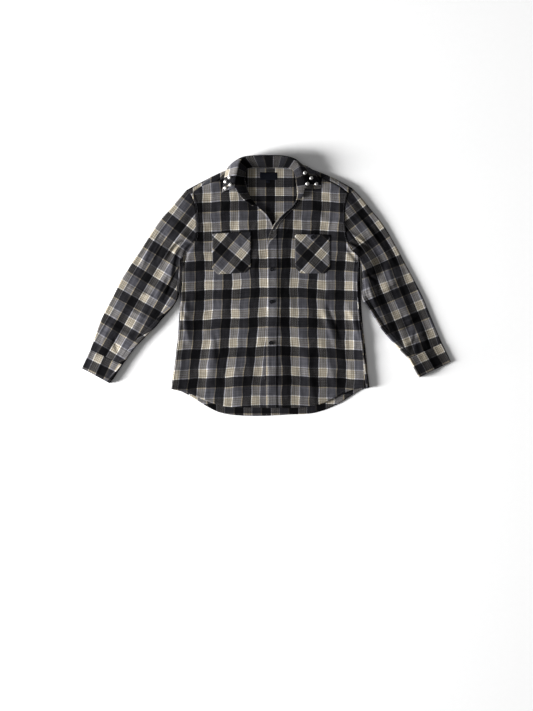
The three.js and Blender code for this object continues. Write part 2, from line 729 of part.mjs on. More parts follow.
function backPanel() {
  const left = backSide("right");
  const right = backSide("left");
  const wide = right[0].x - left[0].x;
  const turn = Math.PI * ROLL;
  const stripRight = SEAM_INSET.right - ROLL;
  const stripLeft = SEAM_INSET.left - ROLL;
  const fractions = [0];
  for (let k = 0; k <= TURN_STEPS; k += 1) fractions.push((stripRight + (turn * k) / TURN_STEPS) / wide);
  const first = fractions[fractions.length - 1];
  const lastShare = 1 - (stripLeft + turn) / wide;
  for (let k = 1; k < BACK_STEPS; k += 1) fractions.push(mix(first, lastShare, k / BACK_STEPS));
  for (let k = TURN_STEPS; k >= 0; k -= 1) fractions.push(1 - (stripLeft + (turn * k) / TURN_STEPS) / wide);
  fractions.push(1);
  const tailY = (x) => {
    const inside = Math.min(TAIL[TAIL.length - 1].x, Math.max(TAIL[0].x, x));
    return read(TAIL, "x", "y", inside);
  };
  const bottom = fractions.map((f) => {
    const x = mix(left[0].x, right[0].x, f);
    return { x, y: tailY(x) };
  });
  const armRight = left[left.length - 1];
  const armLeft = right[right.length - 1];
  const top = fractions.map((f) => ({
    x: mix(armRight.x, armLeft.x, f),
    y: yokeLine(f, armRight.y, armLeft.y) - SEAM_GAP,
  }));
  left[left.length - 1] = top[0];
  right[right.length - 1] = top[top.length - 1];
  const flat = patch(bottom, top, left, right);
  const outer = flat.map((row) => row.map((p) => turnUp(p.x, p.y)));
  const inner = outer.map((row) => row.map((p) => inward(p, CLOTH)));
  wall("back", outer, inner, "plaid");
}

// The back seam of the yoke: level in the middle, a little higher at the armholes
function yokeLine(share, startY, endY) {
  const lift = (end) => end - YOKE_BACK_Y;
  const near = smooth(YOKE_LIFT_SHARE, 0, share);
  const far = smooth(1 - YOKE_LIFT_SHARE, 1, share);
  return YOKE_BACK_Y + lift(startY) * near + lift(endY) * far;
}

// Yoke: spread flat above the shoulder fold, then folded over it onto the fronts

const foldFoot = (x) => read(SHOULDER, "x", "y", x) - ROLL;
const spreadY = (x, y) => 2 * foldFoot(x) + Math.PI * ROLL - y;

function foldOver(x, w) {
  const foot = foldFoot(x);
  const past = w - foot;
  const turn = Math.PI * ROLL;
  if (past <= 0) return { x, y: w, z: 0, nx: 0, ny: 0, nz: 1 };
  if (past >= turn) return { x, y: foot - (past - turn), z: EDGE_TOP, nx: 0, ny: 0, nz: -1 };
  const angle = past / ROLL;
  return {
    x,
    y: foot + ROLL * Math.sin(angle),
    z: ROLL - ROLL * Math.cos(angle),
    nx: 0,
    ny: -Math.sin(angle),
    nz: Math.cos(angle),
  };
}

// The armhole end of the yoke in spread form, from the back seam to the front seam
function yokeEnd(side) {
  const points = arm[side].points;
  const seam = points[points.length - 2];
  const start = points[points.length - 1];
  const line = [{ x: seam.x, y: seam.y }, { x: mix(seam.x, start.x, 0.5), y: mix(seam.y, start.y, 0.5) }];
  const rim = rollPoints(start, arm[side].shoulder).reverse();
  const foot = foldFoot(start.x);
  const inset = SEAM_GAP / ROLL;
  rim.forEach((p, k) => {
    line.push({ x: mix(p.x, start.x, inset), y: foot + (Math.PI * ROLL * k) / TURN_STEPS });
  });
  line.push({ x: mix(seam.x, start.x, 0.5), y: spreadY(start.x, mix(seam.y, start.y, 0.5)) });
  line.push({ x: seam.x, y: spreadY(seam.x, seam.y + YOKE_GAP) });
  return line;
}

function yoke() {
  const left = yokeEnd("right");
  const right = yokeEnd("left");
  const armRight = left[0];
  const armLeft = right[0];
  const seam = (points) => points.map((p) => ({ x: p.x, y: spreadY(p.x, p.y + YOKE_GAP) }));
  const [neckRight] = seam([EDGE_RIGHT[EDGE_RIGHT.length - 1]]);
  const [neckLeft] = seam([EDGE_LEFT[EDGE_LEFT.length - 1]]);
  const topShape = [
    left[left.length - 1],
    ...seam(YOKE_SEAM_RIGHT),
    neckRight,
    { x: NECK_SIDE.right, y: foldFoot(NECK_SIDE.right) + NECK_SIDE.rise },
    ...NECK_BACK,
    { x: NECK_SIDE.left, y: foldFoot(NECK_SIDE.left) + NECK_SIDE.rise },
    neckLeft,
    ...seam([...YOKE_SEAM_LEFT].reverse()),
    right[right.length - 1],
  ];
  const xs = topShape.map((p) => p.x);
  const columns = [];
  for (let k = 0; k < topShape.length; k += 1) {
    columns.push(topShape[k]);
    const isWide = k < topShape.length - 1 && xs[k + 1] - xs[k] > YOKE_WIDE_STEP;
    if (isWide) columns.push({ x: mix(xs[k], xs[k + 1], 0.5), y: mix(topShape[k].y, topShape[k + 1].y, 0.5) });
  }
  const share = shares(columns.map((p) => ({ x: p.x, y: 0 })));
  const bottom = share.map((f) => ({
    x: mix(armRight.x, armLeft.x, f),
    y: yokeLine(f, armRight.y, armLeft.y),
  }));
  const top = columns.map((p) => ({ ...p }));
  bottom[0] = left[0];
  bottom[bottom.length - 1] = right[0];
  const flat = patch(bottom, top, left, right);
  const outer = flat.map((row) => row.map((p) => foldOver(p.x, p.y)));
  const inner = outer.map((row) => row.map((p) => inward(p, CLOTH)));
  wall("yoke", outer, inner, "plaid");
}

// Sleeves and cuffs: flattened tubes from their rows of sections

function tubeRing(row, side, shift) {
  const { points, shares: armShares, under, shoulder } = arm[side];
  const length = Math.hypot(row.ox - row.ix, row.oy - row.iy);
  const firstShare = armShares[0];
  const lastShare = armShares[armShares.length - 1];
  const tops = points.map((p, k) => {
    const g = (armShares[k] - firstShare) / (lastShare - firstShare);
    const f = (ROLL + (length - 2 * ROLL) * g) / length;
    const chordX = mix(under.x, shoulder.x, armShares[k]);
    const chordY = mix(under.y, shoulder.y, armShares[k]);
    const share = mix(f, armShares[k], row.bow);
    const x = mix(row.ix, row.ox, share) + row.bow * (p.x - chordX) + shift;
    const apart = row.bow * mix(SEAM_GAP, -SEAM_GAP, armShares[k]);
    const y = mix(row.iy, row.oy, share) + row.bow * (p.y - chordY) + apart;
    const crown = row.crown * Math.sin(Math.PI * g) ** 0.5;
    const edge = Math.min(1, 6 * g, 6 * (1 - g));
    return { x, y, z: EDGE_TOP + crown + foldHeight(x, y) * mix(edge, 1, row.bow) };
  });
  const first = tops[0];
  const last = tops[tops.length - 1];
  first.z = EDGE_TOP;
  last.z = EDGE_TOP;
  const spare = row.bow * SEAM_GAP;
  const outerEnd = rollPoints(last, { x: row.ox + shift, y: row.oy - spare }).slice(1, -1);
  const innerEnd = rollPoints(first, { x: row.ix + shift, y: row.iy + spare }).slice(1, -1).reverse();
  const ring = [];
  for (const p of tops) ring.push({ ...p, nx: 0, ny: 0, nz: -1 });
  ring.push(...outerEnd);
  for (const p of [...tops].reverse()) ring.push({ x: p.x, y: p.y, z: 0, nx: 0, ny: 0, nz: 1 });
  ring.push(...innerEnd);
  return ring;
}

function tube(name, rows, side) {
  const sign = side === "right" ? -1 : 1;
  const outer = rows.map((row) => tubeRing(row, side, sign * SEAM_GAP));
  const inner = outer.map((ring) => ring.map((p) => inward(p, CLOTH)));
  wall(name, outer, inner, "plaid", true);
}

// Collar

// Both faces of a wall from its visible face, moved along the surface's own normal
function thicken(name, face, depth, cloth) {
  const rows = face.length;
  const columns = face[0].length;
  const vector = (p) => new THREE.Vector3(p.x, p.y, p.z);
  const inner = face.map((row, i) =>
    row.map((p, j) => {
      const along = vector(face[Math.min(rows - 1, i + 1)][j]).sub(vector(face[Math.max(0, i - 1)][j]));
      const across = vector(row[Math.min(columns - 1, j + 1)]).sub(vector(row[Math.max(0, j - 1)]));
      const normal = along.cross(across).normalize();
      return { x: p.x - normal.x * depth, y: p.y - normal.y * depth, z: p.z - normal.z * depth };
    }),
  );
  wall(name, face, inner, cloth);
}

function collarStand() {
  const face = COLLAR.map((row) => {
    const line = [];
    for (let k = 0; k <= STAND_STEPS; k += 1) {
      const t = k / STAND_STEPS;
      const bow = STAND_BOW * Math.sin(Math.PI * t);
      line.push({
        x: mix(row.fx, row.tx, t),
        y: mix(row.fy, row.ty, t),
        z: mix(row.fz, row.tz, t) + bow,
      });
    }
    return line;
  });
  thicken("collar_stand", face, COLLAR_CLOTH, "plaid");
}

function fallGrid() {
  return COLLAR.filter((row) => row.leaf).map((row) => {
    const foot = new THREE.Vector3(row.fx, row.fy, row.fz);
    const top = new THREE.Vector3(row.tx, row.ty, row.tz);
    const middle = new THREE.Vector3(row.mx, row.my, row.mz);
    const end = new THREE.Vector3(row.ex, row.ey, row.ez);
    const rise = top.clone().sub(foot).normalize();
    const start = top.clone().addScaledVector(rise, FALL_GAP);
    const over = start.clone().addScaledVector(rise, FALL_RISE);
    // The second handle that takes the curve through the middle point
    const pull = middle.clone().multiplyScalar(8).sub(start).addScaledVector(over, -3).sub(end);
    pull.divideScalar(3);
    return new THREE.CubicBezierCurve3(start, over, pull, end).getPoints(FALL_STEPS);
  });
}

// Pockets lie on the fronts

function pocket(name, side, shape) {
  const grid = frontGrids[side];
  const face = [];
  for (let i = 0; i <= POCKET_STEPS; i += 1) {
    const v = i / POCKET_STEPS;
    const y = mix(shape.y0, shape.y1, v);
    const clipped = Math.max(0, shape.clip - (y - shape.y0));
    const row = [];
    for (let j = 0; j <= POCKET_STEPS; j += 1) {
      const u = j / POCKET_STEPS;
      const x = mix(shape.x0 + clipped, shape.x1 - clipped, u);
      const tilted = y + shape.tilt * (x - mix(shape.x0, shape.x1, 0.5));
      row.push({ x, y: tilted, z: surfaceAt(grid, x, tilted).z });
    }
    face.push(row);
  }
  const lowFace = raised(face, REST_GAP);
  const topFace = raised(face, REST_GAP + BAND);
  wall(name, topFace, lowFace, "plaid");
  return topFace;
}

// Trim

function slab(name, shape, base, thick, cloth) {
  const geometry = new THREE.BoxGeometry(shape.wide, shape.tall, thick);
  geometry.translate(shape.x, shape.y, base + thick / 2);
  addGeometry(name, geometry, cloth);
}

function circlePoints(x, y, radius, count) {
  const points = [];
  for (let k = 0; k < count; k += 1) {
    const angle = (2 * Math.PI * k) / count;
    points.push(new THREE.Vector2(x + radius * Math.cos(angle), y + radius * Math.sin(angle)));
  }
  return points;
}

function button(row, base) {
  const disc = new THREE.Shape(circlePoints(0, 0, BUTTON_RADIUS, BUTTON_SIDES));
  for (const sx of [-1, 1]) {
    for (const sy of [-1, 1]) {
      const x = sx * BUTTON_HOLE_PITCH;
      const y = sy * BUTTON_HOLE_PITCH;
      disc.holes.push(new THREE.Path(circlePoints(x, y, BUTTON_HOLE, BUTTON_HOLE_SIDES)));
    }
  }
  const geometry = new THREE.ExtrudeGeometry(disc, { depth: BUTTON_THICK, bevelEnabled: false });
  geometry.translate(row.x, row.y, base + REST_GAP);
  addGeometry(row.name, geometry, "button");
}

function stud(row, place) {
  const profile = [];
  for (let k = 0; k <= STUD_RINGS; k += 1) {
    const angle = (Math.PI / 2) * (k / STUD_RINGS);
    const height = STUD_RIM + (STUD_TALL - STUD_RIM) * Math.sin(angle);
    profile.push(new THREE.Vector2(STUD_RADIUS * Math.cos(angle), height));
  }
  profile[STUD_RINGS].x = 0;
  profile.unshift(new THREE.Vector2(STUD_RADIUS, 0));
  profile.unshift(new THREE.Vector2(0, 0));
  const geometry = new THREE.LatheGeometry(profile, STUD_SIDES);
  const turn = new THREE.Quaternion().setFromUnitVectors(new THREE.Vector3(0, 1, 0), place.normal);
  geometry.applyQuaternion(turn);
  geometry.translate(
    row.x + place.normal.x * REST_GAP,
    row.y + place.normal.y * REST_GAP,
    place.z + place.normal.z * REST_GAP,
  );
  addGeometry(row.name, geometry, "stud");
}

// The whole shirt

backPanel();
yoke();
for (const side of ["right", "left"]) {
  const grid = frontGrids[side];
  wall("front_" + side, grid, raised(grid, -CLOTH), "plaid");
}
const placketFace = placket();
wall("placket", raised(placketFace, REST_GAP + BAND), raised(placketFace, REST_GAP), "plaid");
tube("sleeve_right", SLEEVE_RIGHT, "right");
tube("sleeve_left", SLEEVE_LEFT, "left");
tube("cuff_right", CUFF_RIGHT, "right");
tube("cuff_left", CUFF_LEFT, "left");
collarStand();
const fall = fallGrid();
thicken("collar_fall", fall, COLLAR_CLOTH, "plaid");
pocket("pocket_right", "right", POCKET_RIGHT);
const pocketTop = pocket("pocket_left", "left", POCKET_LEFT);
slab("neck_label", LABEL, CLOTH + REST_GAP, LABEL_CLOTH, "label");
slab("size_tab", SIZE_TAB, CLOTH + REST_GAP, LABEL_CLOTH, "label");
for (const row of FRONT_BUTTONS) {
  button(row, surfaceAt(raised(placketFace, REST_GAP + BAND), row.x, row.y).z);
}
button(LOWEST_BUTTON, surfaceAt(frontGrids.right, LOWEST_BUTTON.x, LOWEST_BUTTON.y).z);
button(POCKET_BUTTON, surfaceAt(pocketTop, POCKET_BUTTON.x, POCKET_BUTTON.y).z);
for (const row of STUDS) stud(row, surfaceAt(fall, row.x, row.y));

export default group;
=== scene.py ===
"""A brushed plaid shirt laid flat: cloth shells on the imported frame, with seams, buttons and studs.

The drawing is in millimetres: x across the shirt, y from hem to collar, z up from the surface that it
lies on. "left" and "right" in names are the wearer's, and the wearer's right side is at -x.
"""

import math

import bmesh
import bpy
import numpy as np
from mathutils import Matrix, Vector


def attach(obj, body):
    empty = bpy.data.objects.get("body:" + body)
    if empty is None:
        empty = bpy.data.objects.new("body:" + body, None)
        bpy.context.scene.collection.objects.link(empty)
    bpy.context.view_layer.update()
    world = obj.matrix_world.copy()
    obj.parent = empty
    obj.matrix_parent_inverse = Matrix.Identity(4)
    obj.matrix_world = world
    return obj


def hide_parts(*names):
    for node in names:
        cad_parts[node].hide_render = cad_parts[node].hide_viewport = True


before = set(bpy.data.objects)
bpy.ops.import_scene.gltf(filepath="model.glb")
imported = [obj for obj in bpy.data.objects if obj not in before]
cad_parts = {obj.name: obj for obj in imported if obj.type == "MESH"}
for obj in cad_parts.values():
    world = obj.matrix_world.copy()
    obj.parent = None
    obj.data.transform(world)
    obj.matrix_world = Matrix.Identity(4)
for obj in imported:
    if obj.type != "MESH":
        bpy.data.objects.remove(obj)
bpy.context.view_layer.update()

MM = 0.001
RIM_ROUND = 0.35  # of a ply, that a cut edge stands out in its middle
CENTRE_Y = -0.33  # of the drawing, so that the shirt's box is centred

# Cloth and seams
SEWN = {  # how far in from the edge each row of stitching lies
    "front": 7,
    "placket": 3.5,
    "pocket": 3,
    "sleeve": 2.5,
    "cuff": 4,
    "collar_fall": 6,
    "collar_stand": 3,
}
PLY = 1.0  # one ply of brushed flannel
COLLAR_PLY = 1.8
CUFF_PLY = 1.5
BAND = 1.3  # what the placket and pockets add
LAID_GAP = 0.1  # under a piece that lies on another
SEAM_CLOSE = 0.1  # between panels that are sewn edge to edge
SEAM_DIP = 0.9
SEAM_DIP_WIDE = 1.6
SEAM_RIDGE = 0.5  # of the allowance beside a seam
SEAM_RIDGE_WIDE = 7
EDGE_ROLL = 1.6  # of the front edges at the neck
EDGE_ROLL_WIDE = 4
HEM_WIDE = 9
HEM_RISE = 0.6
TAIL_LIFT = 0.9
TAIL_WAVES = (23, 61)
RIM_STEPS = 9
ROLL_STEPS = 11
STRIP_STEPS = {"right": 3, "left": 5}
STRIP_SHORT = 1.5  # how far below the armhole the turned-up strip ends
BACK_STEPS = 120
YOKE_STEPS = 9
YOKE_ON_TOP = 3  # radians round the shoulder's roll

# Heights of the laid-out body
ROLL = 4.5  # radius of the rolled side, shoulder and sleeve edges
EDGE_TOP = 2 * ROLL
FRONT_TOP = 4.4
LOWEST_TOP = 2.9
BODY_CROWN = 2.5
BODY_HALF = 290
EDGE_REACH = 30
LAP_LIFT = 2.4
LAP_FULL = 40
LAP_END = 78
SEAM_INSET = {"right": 7, "left": 13}
SEAM_INSET_UNDERARM = 7
SEAM_TAPER = (0, 80)
UNDERARM_TO_SEAM = 9.45
SLEEVE_SEAM_INSET = 15
NECK_HELD = (70, 352)

# The plaid: widths in a repeat of 88, and the real repeats in mm
SETT_REPEAT = 88
WARP_REPEAT = 86.5
WEFT_REPEAT = 92.6
LIGHT_GROUP = 28.5
WHITE = (0.47, 0.465, 0.46)
CREAM = (0.31, 0.296, 0.26)
TAN = (0.184, 0.148, 0.098)
GREY = (0.0465, 0.0458, 0.0571)
YELLOW = (0.13, 0.104, 0.066)
BLACK = (0.0021, 0.002, 0.00266)
SETT = (
    (0, WHITE), (3.6, TAN), (7.4, CREAM), (10, TAN), (13, CREAM), (15.5, TAN), (18.5, CREAM),
    (21.1, TAN), (24.9, WHITE), (LIGHT_GROUP, GREY), (56, YELLOW), (59, BLACK),
)


def table(columns, *rows):
    """Rows under named columns, with their number as column n."""
    found = dict(zip(columns.split(), np.array(rows, float).T))
    found["n"] = np.arange(len(rows), dtype=float)
    return found


SIDES = table(
    "y right left",
    (-326, -301, 327), (-280, -295, 321), (-234, -288, 317), (-171, -281, 310), (-107, -276, 303),
    (-44, -273, 299), (35, -271, 297), (90, -270.5, 296), (320, -270.5, 296),
)
ARMHOLE = {
    "right": (
        (-270.5, 88), (-262, 95), (-248, 107), (-232, 127), (-222, 161), (-221, 209), (-226, 256),
        (-238, 287), (-252, 302),
    ),
    "left": (
        (296, 88), (284, 98), (268, 113), (256, 135), (250, 165), (246, 202), (248, 246),
        (257, 286), (271, 308),
    ),
}
TAIL = table(
    "x y",
    (-301, -326), (-274, -332), (-243, -347), (-211, -367), (-179, -386), (-148, -400),
    (-100, -409), (-15, -411.5), (73, -407), (137, -404), (185, -392), (231, -371), (270, -346),
    (300, -329), (327, -322),
)
HEM = {
    "right": ((33, -385), (-80, -384), (-142, -379), (-196, -361), (-243, -341), (-301, -326)),
    "left": ((0.5, -386), (73, -386), (137, -382), (180, -371), (231, -347), (280, -326), (327, -321)),
}
FRONT_EDGE = {
    "right": table(
        "y x",
        (-385, 33), (-100, 33), (130, 33), (165, 28), (188, 20), (205, 13), (224, 1), (240, -16),
        (257, -34), (285, -53), (325, -65), (352, -69),
    ),
    "left": table(
        "y x",
        (-386, 0.5), (-200, 1), (-40, 4), (60, 4), (130, 3), (161, 10), (183, 19), (205, 34),
        (228, 56), (251, 83), (278, 97), (310, 96), (346, 92),
    ),
}
PLACKET_WIDE = 32
PLACKET_TURNED = 15
PLACKET_ROLLS = (120, 200)
PLACKET_TOP = 272
PLACKET_PUFF = 0.35
PLACKET_COLUMNS = (0, 0.03, 0.08, 0.16, 0.28, 0.4, 0.5, 0.6, 0.72, 0.84, 0.92, 0.97, 1)
PLACKET_ROLLED = (2.5, 16)  # the stripes where it rolls outward, laid white at both edges and black between, partly the plaid's white line and partly a painted highlight of the rolled edges: where they start, and how far they go

SHOULDER = table(
    "x y",
    (-262, 295), (-252, 302), (-206, 327), (-167, 347), (-123, 366), (-64, 377), (0, 388),
    (78, 380), (105, 377), (137, 370), (187, 351), (232, 330), (271, 308), (281, 302),
)
YOKE_SEAM = {
    "right": ((-208, 311), (-181, 322), (-151, 331), (-123, 340)),
    "left": ((218, 322), (183, 336), (137, 350)),
}
YOKE_TURN = 19
YOKE_BACK_Y = 284
YOKE_LIFT_SHARE = 0.25
NECK_SIDE_RISE = 8
NECK_BACK = ((-50, 372), (-20, 371), (10, 371), (40, 371), (70, 372))
NECK_SIDE = {"right": -62, "left": 84}

# Sleeve and cuff sections: outer and inner end, share of the armhole's curve, height of the middle
SLEEVE = {
    "right": table(
        "ox oy ix iy bow crown",
        (-252, 302, -270.5, 88, 1, 0),
        (-278, 272, -275.5, 80, 0.78, -1),
        (-305, 240, -274.5, 66, 0.56, -1.5),
        (-333, 209, -274, 45, 0.36, -2),
        (-356, 177, -274, 20, 0.18, -2.5),
        (-376, 145, -274.5, -4, 0.06, -2.5),
        (-396, 114, -275.5, -29, 0, -2.5),
        (-418, 82, -287, -56, 0, -2.5),
        (-438, 50, -304, -78, 0, -2.5),
        (-459, 17, -325, -101, 0, -2.5),
        (-481, -28, -350, -131, 0, -2.5),
        (-507, -76, -385, -166, 0, -2),
        (-528, -122, -415, -198, 0, -2),
        (-544, -169, -440, -232, 0, -1.5),
        (-556, -202, -454, -250, 0, -2.5),
    ),
    "left": table(
        "ox oy ix iy bow crown",
        (271, 308, 296, 88, 1, 0),
        (298, 280, 300.5, 82, 0.78, -1),
        (328, 243, 300.5, 70, 0.56, -1.5),
        (356, 210, 300.5, 50, 0.36, -2),
        (379, 177, 300.5, 26, 0.18, -2.5),
        (398, 145, 300.5, 3, 0.06, -2.5),
        (416, 113, 300.5, -19, 0, -2.5),
        (432, 82, 303, -42, 0, -2.5),
        (449, 51, 313, -59, 0, -2.5),
        (466, 19, 327, -80, 0, -2.5),
        (483, -14, 345, -109, 0, -2.5),
        (498, -45, 364, -138, 0, -2.5),
        (511, -77, 386, -165, 0, -2),
        (524, -109, 406, -187, 0, -2),
        (539, -145, 428, -210, 0, -1.5),
        (555, -182, 449, -231, 0, -2.5),
    ),
}
CUFF = {
    "right": table(
        "ox oy ix iy bow crown",
        (-556.3, -202.7, -454.3, -250.7, 0, -2.5),
        (-570, -233, -474, -281, 0, -2.5),
        (-583, -261, -493, -309, 0, -2.5),
    ),
    "left": table(
        "ox oy ix iy bow crown",
        (555.3, -182.7, 449.3, -231.7, 0, -2.5),
        (569, -211, 466, -261, 0, -2.5),
        (583, -240, 482, -290, 0, -2.5),
    ),
}

# Collar stations: foot and top of the band, then middle and edge of the turned-over fall
STAND = table(
    "fx fy fz tx ty tz",
    (-33, 255, 6.6, -41, 251, 10.5),
    (-45, 270, 7.2, -63, 265, 13.5),
    (-54, 286, 7.6, -80, 280, 16),
    (-61, 305, 8.2, -97, 307, 18),
    (-65, 325, 9.4, -97, 324, 19.5),
    (-67, 345, 10.2, -92, 348, 22),
    (-64, 361, 10.4, -86, 374, 25),
    (-58, 370, 8, -81, 390, 26),
    (-44, 373, 3.5, -68, 402, 27),
    (-24, 372, 2.4, -40, 405, 27),
    (10, 372, 2.4, 5, 406, 27),
    (42, 372, 2.4, 52, 404, 27),
    (66, 372, 3.5, 82, 398, 27),
    (79, 368, 8, 96, 385, 26),
    (88, 358, 10.4, 104, 366, 25),
    (92, 341, 10.4, 110, 347, 23),
    (95, 322, 9.4, 116, 326, 21),
    (98, 305, 8.6, 121, 307, 18),
    (100, 290, 8.4, 117, 289, 15),
    (98, 277, 8.2, 110, 273, 12),
)
FALL_FIRST = 3  # the stand's station where the fall begins
FALL = table(
    "mx my mz ex ey ez",
    (-120, 303, 15.5, -141, 292, 9.6),
    (-118, 322, 17.5, -137, 315, 12.4),
    (-113, 347, 20, -132, 342, 13),
    (-109, 371, 21, -126, 366, 12.5),
    (-104, 388, 17, -111, 376, 7),
    (-82, 402, 17, -82, 385, 0.2),
    (-44, 408.5, 15, -44, 380, 0),
    (4, 409, 15, 4, 378, 0),
    (54, 408, 15, 52, 380, 0),
    (92, 398, 17, 88, 386, 0.6),
    (113, 382, 18, 117, 380, 9),
    (128, 368, 20, 145, 364, 12.8),
    (138, 350, 19, 158, 345, 13),
    (146, 329, 17, 171, 322, 10.6),
    (148, 306, 14.5, 176, 309, 8.6),
)
FALL_RISE = 9
FALL_GAP = 1.4
STAND_BOW = 1.2
STAND_GRID = (150, 15)
FALL_GRID = (170, 41)
COLLAR_PUFF = 0.5
COLLAR_DENT = 0.35  # along the stitching
COLLAR_WARP_START = -65.7
COLLAR_EASE = 19  # how much more cloth lies round either side of the neck
COLLAR_EASED = (50, 110)  # over this stretch from the middle of the back
STAND_WEFT = (61.5, 92.5)  # black between a yellow line at the foot and a light one at the top
FALL_WEFT = (50.5, 92)  # at the fold, from the wearer's right to left

# Soft ridges and troughs on the fronts and sleeves: start, middle and end, the reach on either side
# of the line, and the height (a trough's is negative)
CREASES = table(
    "x0 y0 x1 y1 x2 y2 right left height",
    # wearer's right underarm
    (-228, 138, -276, 176, -326, 84, 26, 9, 6.0),
    (-250, 130, -276, 138, -294, 92, 9, 7, 4.0),
    (-224, 134, -258, 118, -263, 60, 9, 8, -7.5),
    (-284, 106, -302, 60, -300, 8, 16, 7, 3.4),
    (-286, 64, -296, 10, -322, -42, 6, 7, -2.6),
    (-300, 60, -330, 10, -352, -52, 14, 9, 2.4),
    (-318, 160, -340, 118, -350, 74, 8, 9, -3.0),
    (-336, 176, -372, 118, -398, 50, 20, 9, 2.6),
    (-352, 176, -392, 100, -420, 40, 9, 7, -1.8),
    (-296, 214, -330, 168, -352, 140, 8, 7, -2.0),
    # wearer's right sleeve
    (-312, 30, -352, 8, -404, 6, 9, 16, 1.6),
    (-330, -44, -392, -30, -440, 2, 8, 14, 1.8),
    (-366, -110, -420, -84, -462, -58, 7, 12, 1.5),
    (-420, -170, -450, -140, -500, -120, 8, 12, 1.4),
    (-462, -224, -478, -196, -482, -160, 9, 7, -1.5),
    (-520, -180, -508, -150, -488, -112, 10, 8, 1.5),
    # wearer's left underarm
    (252, 170, 290, 150, 330, 118, 18, 12, 3.4),
    (300, 112, 334, 84, 338, 34, 26, 12, 5.0),
    (300, 138, 364, 96, 354, 8, 10, 30, -4.2),
    (254, 134, 276, 124, 300, 112, 10, 6, 4.0),
    (250, 122, 284, 86, 306, 50, 9, 9, -2.6),
    (384, 100, 392, 50, 390, -10, 24, 14, 0.9),
    (318, 40, 336, 20, 350, 14, 6, 8, -2.4),
    (322, 10, 330, -40, 356, -86, 7, 12, 2.4),
    (268, 160, 290, 140, 322, 122, 7, 5, -2.4),
    (300, 206, 352, 150, 388, 80, 16, 9, 2.4),
    (330, 214, 380, 150, 410, 80, 9, 12, -1.8),
    # wearer's left sleeve
    (318, -34, 372, -22, 424, 24, 9, 15, 1.8),
    (352, -100, 404, -72, 462, -62, 8, 13, 1.6),
    (392, -150, 440, -132, 480, -92, 7, 12, 1.6),
    (430, -196, 470, -160, 508, -148, 8, 12, 1.4),
    (452, -214, 466, -182, 472, -140, 8, 7, -1.5),
    (388, 96, 420, 60, 448, 20, 14, 20, 1.4),
    # wearer's right body
    (-262, -46, -252, -82, -238, -96, 12, 18, 2.2),
    (-268, -80, -246, -140, -244, -196, 12, 18, 2.4),
    (-150, -136, -176, -220, -182, -330, 18, 26, 2.4),
    (-164, -140, -150, -200, -148, -262, 14, 10, -1.3),
    (-88, -160, -104, -260, -96, -360, 20, 26, 1.3),
    (-240, 20, -226, -20, -232, -70, 20, 24, 1.2),
    (-60, -230, -40, -300, -44, -370, 16, 20, 1.2),
    # wearer's left body
    (176, -64, 194, -120, 222, -192, 12, 18, 2.8),
    (192, -60, 212, -110, 238, -168, 8, 7, -1.6),
    (250, -50, 276, -110, 308, -192, 12, 16, 2.4),
    (120, -196, 134, -270, 150, -362, 18, 24, 2.4),
    (196, -226, 214, -280, 220, -330, 12, 16, 1.4),
    (60, -240, 74, -310, 66, -376, 14, 18, 1.0),
    (276, -200, 262, -250, 272, -310, 12, 16, 1.3),
    # chest and shoulders
    (-120, 262, -150, 214, -196, 190, 16, 22, 1.3),
    (-90, 300, -110, 262, -160, 240, 12, 18, 1.0),
    (120, 262, 160, 220, 206, 200, 16, 22, 1.3),
    (100, 236, 74, 200, 60, 150, 10, 16, 1.2),
    (-20, 214, -44, 176, -56, 110, 10, 18, 1.6),
    (-4, 120, -40, 90, -44, 30, 12, 16, 0.9),
)
CREASE_ENDS = 0.16  # share of a crease over which it fades in and out
CREASE_REACH = 0.72
CREASE_STEPS = 13
WAVES = table(  # faint unevenness: wave length along x and y, phase, height
    "x y phase height",
    (170, 260, 0.4, 0.35),
    (-96, 143, 2.1, 0.25),
    (61, -88, 4.0, 0.14),
    (37, 51, 1.2, 0.09),
    (-23, 31, 3.3, 0.05),
)
RIPPLES = table(
    "reach drift phase height",
    (58, 0.0011, 4.1, 0.5),
    (34, -0.0016, 0.3, 0.36),
    (21, 0.0024, 1.9, 0.2),
)
RIPPLE_WANDER = (0.35, 71)  # how far a ripple wanders, and over what length
RIPPLE_FADE = (0.45, 47, 53)  # how much it comes and goes, and over what lengths
FRONT_RIPPLES = 0.6
SLEEVE_RIPPLES = 1.4

# The cloth's grain on the fronts: how far the warp stripes lean, by y
LEAN = table(
    "y right left",
    (-400, -27, 7), (-360, -27, 4), (-272, -20, 5), (-180, -9.5, 2), (-85, -4, 0), (3, 0, 0),
    (110, -3, 5), (215, -6.5, 12), (380, -9, 17),
)
WARP_START = {"right": -21.5, "left": -12.9}
WEFT_START = -98.9
WEFT_SLOPE = {"right": 0.045, "left": -0.055}
WEFT_SLOPE_FROM = {"right": 0, "left": 75}
# Unevenness of the stripes: its size, and its wave lengths along and across a stripe
WARP_WOBBLE = ((0.9, 19, 43), (0.54, 8.3, -27))
WEFT_WOBBLE = ((0.9, 23, 61), (0.45, 9.1, 33))
BACK_GRAIN = (59, -296.5)  # where the back's stripes start, across and along
BACK_DRIFT = (13, 22)  # how far they have moved at the tail
BACK_DRIFTS = (200, -380)
BACK_STRIP_EASE = 32  # brings a black stripe onto the strip that turns up on the wearer's left
BACK_STRIP = (-2, 10)
YOKE_GRAIN = (59, -341)
YOKE_INSIDE = (311, 58.2)  # below this line the inside of the neck shows, with its stripes moved
YOKE_FRONT = 26  # the same on the part that lies on the fronts

